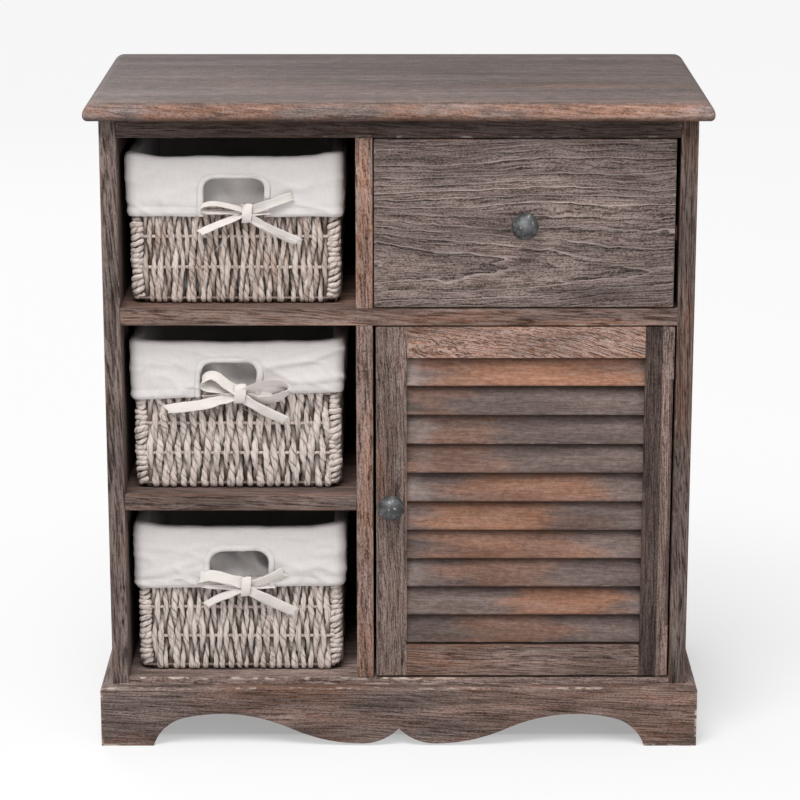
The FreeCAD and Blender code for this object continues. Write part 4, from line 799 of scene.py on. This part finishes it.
class Cuff:
    """Where the cloth of one basket's liner lies."""

    shift = heave = 0.0

    def __init__(self, number):
        low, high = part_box(f"basket_{number}_weave")
        self.middle, self.floor, self.height = (low + high) / 2, low.z, high.z - low.z
        self.half_x, self.half_y = (high.x - low.x) / 2 - FLARE, (high.y - low.y) / 2 - FLARE
        self.seed = Vector((3.1 * number, 7.7 * number, 1.3 * number))
        self.lift = CUFF_LIFT[number]
        vars(self).update(CUFFS[number])

    def rough(self, *at):
        """Uneven numbers between -1 and 1, of this liner's own."""
        return noise.noise(Vector(at) + self.seed)

    def hem(self, x):
        """The level of the cuff's lower edge."""
        return self.edge + self.slope * x + 0.0007 * self.rough(x * 30, 0, 0)

    def drop(self, point, level):
        """How far the cloth sinks between the corners, near the rim."""
        x, y = point
        corner = hump(math.hypot(self.half_x - abs(x), self.half_y - abs(y)), 0.020)
        wave = 0.0013 * self.rough(x * 26, y * 26, 0) + 0.0006 * self.rough(x * 90, y * 90, 0)
        near_rim = held((level - 0.118) / 0.034)
        sunk = self.sag * (1 - corner) + wave - self.lift
        return sunk * near_rim * near_rim * (3 - 2 * near_rim)

    def stand(self, point, level):
        """How far out of the wall the cuff's outside lies, with its wrinkles."""
        at = Vector((point[0], point[1], level))
        soft = 0.0012 * self.rough(*at * 21) + 0.0007 * self.rough(*at * 55)
        pulled = Vector((at.x * 30 + at.z * 34, at.y * 30, at.z * 38 - at.x * 16))
        slack = 1 - abs(noise.noise(pulled - self.seed)) * 2.2
        above = level - self.hem(point[0]) - CASING
        casing = 0.0002 * hump(above + 0.0052, 0.0034) - 0.0004 * hump(above, 0.0016)
        pucker = hump(above, 0.0075) * 0.0006 * self.rough(*at * 150)
        creased = 0.0
        if point[1] < 0.002 - self.half_y:
            for x0, low, x1, high, rise in self.folds:
                share = held((at.x - x0) / (x1 - x0))
                off = math.hypot(at.x - x0 - (x1 - x0) * share, level - low - (high - low) * share)
                creased += rise * hump(off, 0.0042)
        return 0.0039 + soft + 0.0016 * max(0, slack) ** 4 + casing + pucker + creased

    def place(self, point, aim, level, out):
        """A point of the cloth, so far out of the wall's outside."""
        reach = FLARE * level / self.height + out
        drawn = 0.0
        if aim[1] < -0.9:
            near = math.exp(-((point[0] / 0.058) ** 4))
            drawn = self.tug * hump(point[0] - 0.034, 0.024) * held((0.142 - level) / 0.04)
            drawn -= self.shift * near * held((0.152 - level) / 0.02)
            level += self.heave * near * hump(level - 0.131, 0.012)
        return Vector((self.middle.x + point[0] + aim[0] * reach - drawn,
                       self.middle.y + point[1] + aim[1] * reach, self.floor + level))

    def on_front(self, x, level, out):
        """A point above the front of the cuff, so far out of its cloth."""
        point, aim = (x, -self.half_y), (0, -1)
        lie = self.stand(point, level) if level < 0.150 else 0.0034
        return self.place(point, aim, level - self.drop(point, level), lie + out)

    def slack(self, point, aim, level):
        """How far the bag hangs in from its wall, most of all behind the hand hole."""
        at = Vector((point[0], point[1], level * 0.35))
        slack = abs(self.rough(*at * 24)) * 0.0052 + abs(noise.noise(at * 60 - self.seed)) * 0.0016
        if aim[1] < -0.99:
            fold = 1 + 1.6 * self.rough(point[0] * 58 + level * 34, level * 30, 0)
            slack += self.bag * hump(point[0], 0.046) * hump(level - 0.130, 0.020) * fold
        return slack * min(1, (0.150 - level) / 0.03)

    def lie(self, part, row, point, aim):
        """How far out of the wall and how high a row of the sheet lies at one place round the basket."""
        hem = self.hem(point[0])
        if part == "hem":
            return row[0], hem + row[1]
        if part == "cuff":
            level = hem + row
            if row > CASED + 0.0001:
                level = hem + CASED + (row - CASED) * (CUFF_TOP - hem - CASED) / (0.060 - CASED)
            fold = min(1, row / 0.0030)
            return CUFF_STAND + (self.stand(point, level) - CUFF_STAND) * fold, level
        if part == "turn":
            return row[0] + (self.stand(point, row[1]) - 0.0042) * row[2], row[1]
        if part == "bag":
            return -0.0084 - self.slack(point, aim, row), row
        return row


def sewn_liner(number):
    """The bag and cuff of one basket as one sheet of cloth."""
    cuff = Cuff(number)
    outline, aims = round_box(cuff.half_x, cuff.half_y, CUFF_ROUND, CUFF_STEP)
    columns = len(outline)
    points, keys = [], []
    for part, part_rows in SHEET.items():
        for row in part_rows:
            for point, aim in zip(outline, aims):
                out, level = cuff.lie(part, row, point, aim)
                points.append(cuff.place(point, aim, level - cuff.drop(point, level), out))
                keys.append((part in ("hem", "cuff", "turn") and aim[1] < -0.99, point[0], level))
    foot = points[-columns:]
    centre = Vector((cuff.middle.x, cuff.middle.y, 0))
    for share in (0.86, 0.66, 0.44, 0.22):
        for edge in foot:
            edge = Vector((edge.x, edge.y, 0))
            flat = centre.lerp(edge, share)
            flat.z = cuff.floor + BAG_FLOOR + abs(0.0016 * cuff.rough(*edge * 18 * share))
            points.append(flat)
            keys.append((False, 0, 0))

    def cut(face):
        """Whether a face of the sheet was cut away for the hand hole."""
        on_cuff, places, levels = zip(*(keys[corner] for corner in face))
        return all(on_cuff) and math.hypot(*off_core(sum(places) / 4, sum(levels) / 4)) < NOTCH_ROUND

    faces, open_corners, cloth_corners = [], set(), set()
    for start in range(0, len(points) - columns, columns):
        for column in range(columns):
            here, after = start + column, start + (column + 1) % columns
            face = (here, here + columns, after + columns, after)
            if cut(face):
                open_corners.update(face)
            else:
                faces.append(face)
                cloth_corners.update(face)
    faces.append(tuple(range(len(points) - columns, len(points))))
    for corner in open_corners & cloth_corners:
        right, up = off_core(*keys[corner][1:])
        stretch = NOTCH_ROUND / math.hypot(right, up) - 1
        points[corner] += Vector((right * stretch, 0, up * stretch))
    used = sorted(cloth_corners)
    renumber = {old: new for new, old in enumerate(used)}
    faces = [tuple(renumber[corner] for corner in face) for face in faces]
    sheet = link_mesh(f"basket_{number}_cotton_liner", [points[old] for old in used], faces, cotton)
    body = sheet.modifiers.new("cloth_thickness", "SOLIDIFY")
    body.thickness = CLOTH_THICK
    body.offset = 0
    return sheet, cuff


def sweep(rings, points, faces, shut=False):
    """Add a strip to a mesh, from rings of points along it."""
    faces += tube(len(rings), len(rings[0]), len(points), shut)
    points += [point for ring in rings for point in ring]


# The section of the binding, as how far it lies off the notch's edge and how far out of the cuff.
BINDING = ((0.0056, -0.0004), (0.0060, 0.0009), (0.0048, 0.0021), (0.0026, 0.0025), (0.0006, 0.0019),
           (-0.0005, 0.0004), (-0.0006, -0.0030), (-0.0006, -0.0126), (0.0004, -0.0126), (0.0004, -0.0030),
           (0.0008, -0.0004))
SEAM_OFF, SEAM_OUT = 0.0047, 0.0021
STITCH_STEP = 0.0031
STITCH_SPAN = (0.12, 0.80)
THREAD = 0.00023
THREAD_GIRTHS = ((0.0, 0.35), (0.18, 1.0), (0.5, 1.15), (0.82, 1.0), (1.0, 0.35))


def bound_notch(cuff, number):
    """The tape that binds the notch and lines its edge, and the stitches along the tape and the hem."""
    def edge(side, start, end):
        """One upright edge of the notch."""
        return [(side * NOTCH_HALF, level, side, 0) for level in np.linspace(start, end, 16)]

    def corner(side, start, end):
        """One round corner of the notch, between two directions."""
        ways = [heading(turn) for turn in np.radians(np.linspace(start, end, 13))]
        core = side * NOTCH_CORE_X
        return [(core + NOTCH_ROUND * x, NOTCH_CORE_Z + NOTCH_ROUND * z, x, z) for x, z in ways]

    line = edge(-1, cuff.hem(-NOTCH_HALF) + 0.0005, NOTCH_CORE_Z)[:-1] + corner(-1, 180, 90)
    line += [(x, NOTCH_TOP, 0, 1) for x in np.linspace(-NOTCH_CORE_X, NOTCH_CORE_X, 14)[1:-1]]
    line += corner(1, 90, 0) + edge(1, NOTCH_CORE_Z, cuff.hem(NOTCH_HALF) + 0.0005)[1:]
    rings = []
    for x, level, aim_x, aim_z in line:
        ring = []
        for wide, out in BINDING:
            at = cuff.on_front(x + aim_x * max(wide, 0.0), level + aim_z * max(wide, 0.0), 0)
            ring.append(at + Vector((aim_x * min(wide, 0.0), -out, aim_z * min(wide, 0.0))))
        rings.append(ring)
    points, faces = [], []
    sweep(rings, points, faces)
    binding = link_mesh(f"basket_{number}_notch_binding", points, faces, cotton)

    threads, thread_faces = [], []

    def stitch(start, end):
        """One short length of thread, dipping into the cloth at both ends."""
        start, end = (start.lerp(end, share) for share in STITCH_SPAN)
        run = (end - start).normalized()
        rise = FRONT if abs(run.y) < 0.9 else RIGHT
        side = run.cross(rise)
        ways = [side * math.cos(turn) + rise * math.sin(turn) for turn in np.arange(5) * 2 * math.pi / 5]
        rings = []
        for share, girth in THREAD_GIRTHS:
            rings.append([start.lerp(end, share) + way * THREAD * girth for way in ways])
        sweep(rings, threads, thread_faces)

    seam = [cuff.on_front(x + a * SEAM_OFF, level + b * SEAM_OFF, SEAM_OUT) for x, level, a, b in line]
    for start, end in zip(seam, seam[1:]):
        stitch(start, end)
    hem_line = list(zip(*round_box(cuff.half_x, cuff.half_y, CUFF_ROUND, STITCH_STEP)))
    for here, after in zip(hem_line, hem_line[1:] + hem_line[:1]):
        if here[1][1] < -0.9 and min(abs(here[0][0]), abs(after[0][0])) < NOTCH_HALF + 0.005:
            continue
        ends = []
        for point, aim in (here, after):
            level = cuff.hem(point[0]) + CASING + 0.0004
            ends.append(cuff.place(point, aim, level, cuff.stand(point, level) + 0.00045))
        stitch(*ends)
    return binding, link_mesh(f"basket_{number}_liner_stitches", threads, thread_faces, cotton)


# Bows: the tape comes out of the hem on both sides of the notch and is tied below the hand hole. Each fell
# its own way. A band is a width, a tilt and the slant of a cut end, then places right of the basket's middle,
# above its floor and out of the cuff, in millimetres. A knot is a place, a width and a height.
TAPE_THICK = 0.9
cotton_tape = woven_cotton("cream_cotton_tape", (0.725, 0.674, 0.642, 1), (0.63, 0.575, 0.542, 1))
KNOTS = {1: (12.8, 94, 9.5, 18), 2: (3, 102, 12.5, 19), 3: (6.5, 94, 10, 20)}
BANDS = {
    1: (
        ((8, 62), (9, 97, 4.5), (-4, 101, 5.5), (-20, 104, 5.5), (-30, 102.5, 5), (-34, 99, 4),
         (-29, 96, 2.5), (-16, 95.5, 2.5), (6, 95, 3)),
        ((7.5, 58), (-36, 94.5, 0.6), (-20, 93.5, 1.6), (-4, 94, 2.6), (8, 94, 3)),
        ((7, 22, -0.8), (10, 96, 6), (0, 89.5, 6), (-18, 82, 4.5), (-35.5, 74, 3)),
        ((9.5, 12), (16, 97, 4.5), (30, 102, 6), (46, 107.5, 5.5), (56, 110.8, 4), (57.5, 111, 2.6),
         (54, 109.6, 1.6), (40, 104.5, 2), (18, 96, 2.5)),
        ((9.2, 18, 0.7), (14, 91, 6), (26, 84, 6.5), (44, 74.5, 5), (64, 65, 4)),
        ((6, 30, 0.7), (14, 89, 4.6), (26, 81, 4.8), (43, 71.5, 3.6), (61, 63, 2.9)),
        ((7, 50), (36, 95, 0.6), (27, 94.5, 1.8), (17, 94, 2.8)),
    ),
    2: (
        ((11, 36), (1, 105, 4.5), (-10, 112, 7), (-20, 120.5, 7.5), (-28, 121.5, 6), (-35, 116, 4.5),
         (-33, 110, 3), (-18, 107, 2.5), (0, 102.5, 3)),
        ((7.5, 55), (-36, 98, 0.6), (-22, 99, 1.6), (-8, 101, 2.6), (2, 102, 3)),
        ((10.5, 20, -0.8), (2, 103, 6), (-10, 98, 6), (-34, 91, 5), (-58, 87.5, 4.5), (-72.7, 85.7, 4)),
        ((13, 38), (8, 104, 4.5), (22, 111, 7), (38, 114, 7), (49, 110.5, 5.5), (50.5, 105, 4.5),
         (42, 98.5, 4), (26, 95, 3.5), (7, 99, 2.5)),
        ((11, 16, 0.7), (6, 98, 6), (16, 91.5, 6.5), (32, 82, 5.5), (49, 74, 4)),
        ((7, 50), (36, 100.5, 0.6), (24, 101, 1.8), (10, 101.5, 2.8)),
    ),
    3: (
        ((12, 24), (3, 98, 4.5), (-8, 101.5, 6.5), (-24, 105.5, 6.5), (-35, 106, 5), (-41, 102, 3.4),
         (-36, 97.5, 2.4), (-20, 96, 2.4), (2, 95, 3)),
        ((7.5, 50), (-37, 93.5, 0.6), (-22, 93, 1.6), (-8, 94, 2.6), (4, 94.5, 3)),
        ((7.5, 20, -0.8), (4, 93, 6), (-7, 87.5, 6), (-22, 81.5, 4.5), (-35.6, 73.5, 3)),
        ((11, 20), (10, 96, 4.5), (20, 99, 6), (33, 104, 5.5), (43, 109, 4), (45, 109.5, 2.8),
         (40, 105.5, 1.8), (28, 99.5, 2), (10, 94, 2.5)),
        ((12, 10, 0.55), (8, 91, 6), (18, 85.5, 6.5), (36, 76, 5), (57, 66, 4)),
        ((7, 50), (36, 94, 0.6), (26, 94, 1.8), (12, 94, 2.8)),
    ),
}


def smooth_path(corners, spacing):
    """A smooth line through given places."""
    padded = [2 * corners[0] - corners[1], *corners, 2 * corners[-1] - corners[-2]]
    line = []
    for before, start, end, after in zip(padded, padded[1:], padded[2:], padded[3:]):
        for t in np.arange(0, 0.999, 1 / max(2, math.ceil((end - start).length / spacing))):
            bend, twist = 2 * before - 5 * start + 4 * end - after, 3 * start - before - 3 * end + after
            line.append(0.5 * (2 * start + (end - before) * t + bend * t * t + twist * t ** 3))
    return [*line, corners[-1]]


def tied_bow(cuff, number):
    """The tape of one bow: loops, tails, the ends that come out of the hem, and the knot over them."""
    points, faces = [], []

    def spot(right, level, out):
        """A place in millimetres from the basket's middle, its floor and the cuff."""
        reach = cuff.half_y + FLARE * 0.6 + 0.0042 + out / 1000
        return Vector((cuff.middle.x + right / 1000, cuff.middle.y - reach, cuff.floor + level / 1000))

    def band(line, across, wide, cut=0.0, shut=False):
        """A length of tape along a line, with its width lying across it."""
        rings = []
        for index, at in enumerate(line):
            run = (line[min(index + 1, len(line) - 1)] - line[max(index - 1, 0)]).normalized()
            way = (across - run * across.dot(run)).normalized()
            out = run.cross(way)
            share = index / (len(line) - 1)
            crumple = cuff.rough(*at * 130)
            full = wide / 2000 * (1 + 0.05 * math.sin(9 * share + number) + 0.16 * crumple)
            ring = []
            for turn in np.linspace(0, 2 * math.pi, 13)[:-1]:
                beside, above = heading(turn)
                flat = math.copysign(abs(beside) ** 0.55, beside)
                cup = 0.0008 * (flat * flat - 0.5) * math.sin(3 * share + number) + 0.0009 * crumple * flat
                cup -= 0.0006 * hump(flat, 0.3)
                ahead = cut * full * flat if index == len(line) - 1 else 0
                ring.append(at + way * full * flat + out * (TAPE_THICK / 2000 * above + cup) + run * ahead)
            rings.append(ring)
        sweep(rings, points, faces, shut)

    for (wide, tilt, *cut), *corners in BANDS[number]:
        corners = [spot(*corner) for corner in corners]
        lie = max((corner - corners[0] for corner in corners), key=lambda reach: reach.length)
        level_across = Vector((-lie.z, 0, lie.x)).normalized()
        across = level_across * math.cos(math.radians(tilt)) + FRONT * math.sin(math.radians(tilt))
        band(smooth_path(corners, 0.0015), across, wide, *cut)
    right, level, wide, tall = KNOTS[number]
    ring = []
    for forward, upward in map(heading, np.linspace(0, 2 * math.pi, 29)[:-1]):
        ring.append(spot(right + 0.8 * upward, level + tall / 2 * upward, 4.4 + 4.2 * forward))
    band(ring, RIGHT + UP * 0.08, wide, shut=True)
    return link_mesh(f"basket_{number}_tape_bow", points, faces, cotton_tape)


for number in (1, 2, 3):
    liner, cuff = sewn_liner(number)
    binding, stitches = bound_notch(cuff, number)
    bow = tied_bow(cuff, number)
    for piece in (liner, binding, stitches, bow):
        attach(piece, f"basket_{number}")
    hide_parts(f"basket_{number}_liner")
    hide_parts(f"basket_{number}_bow")
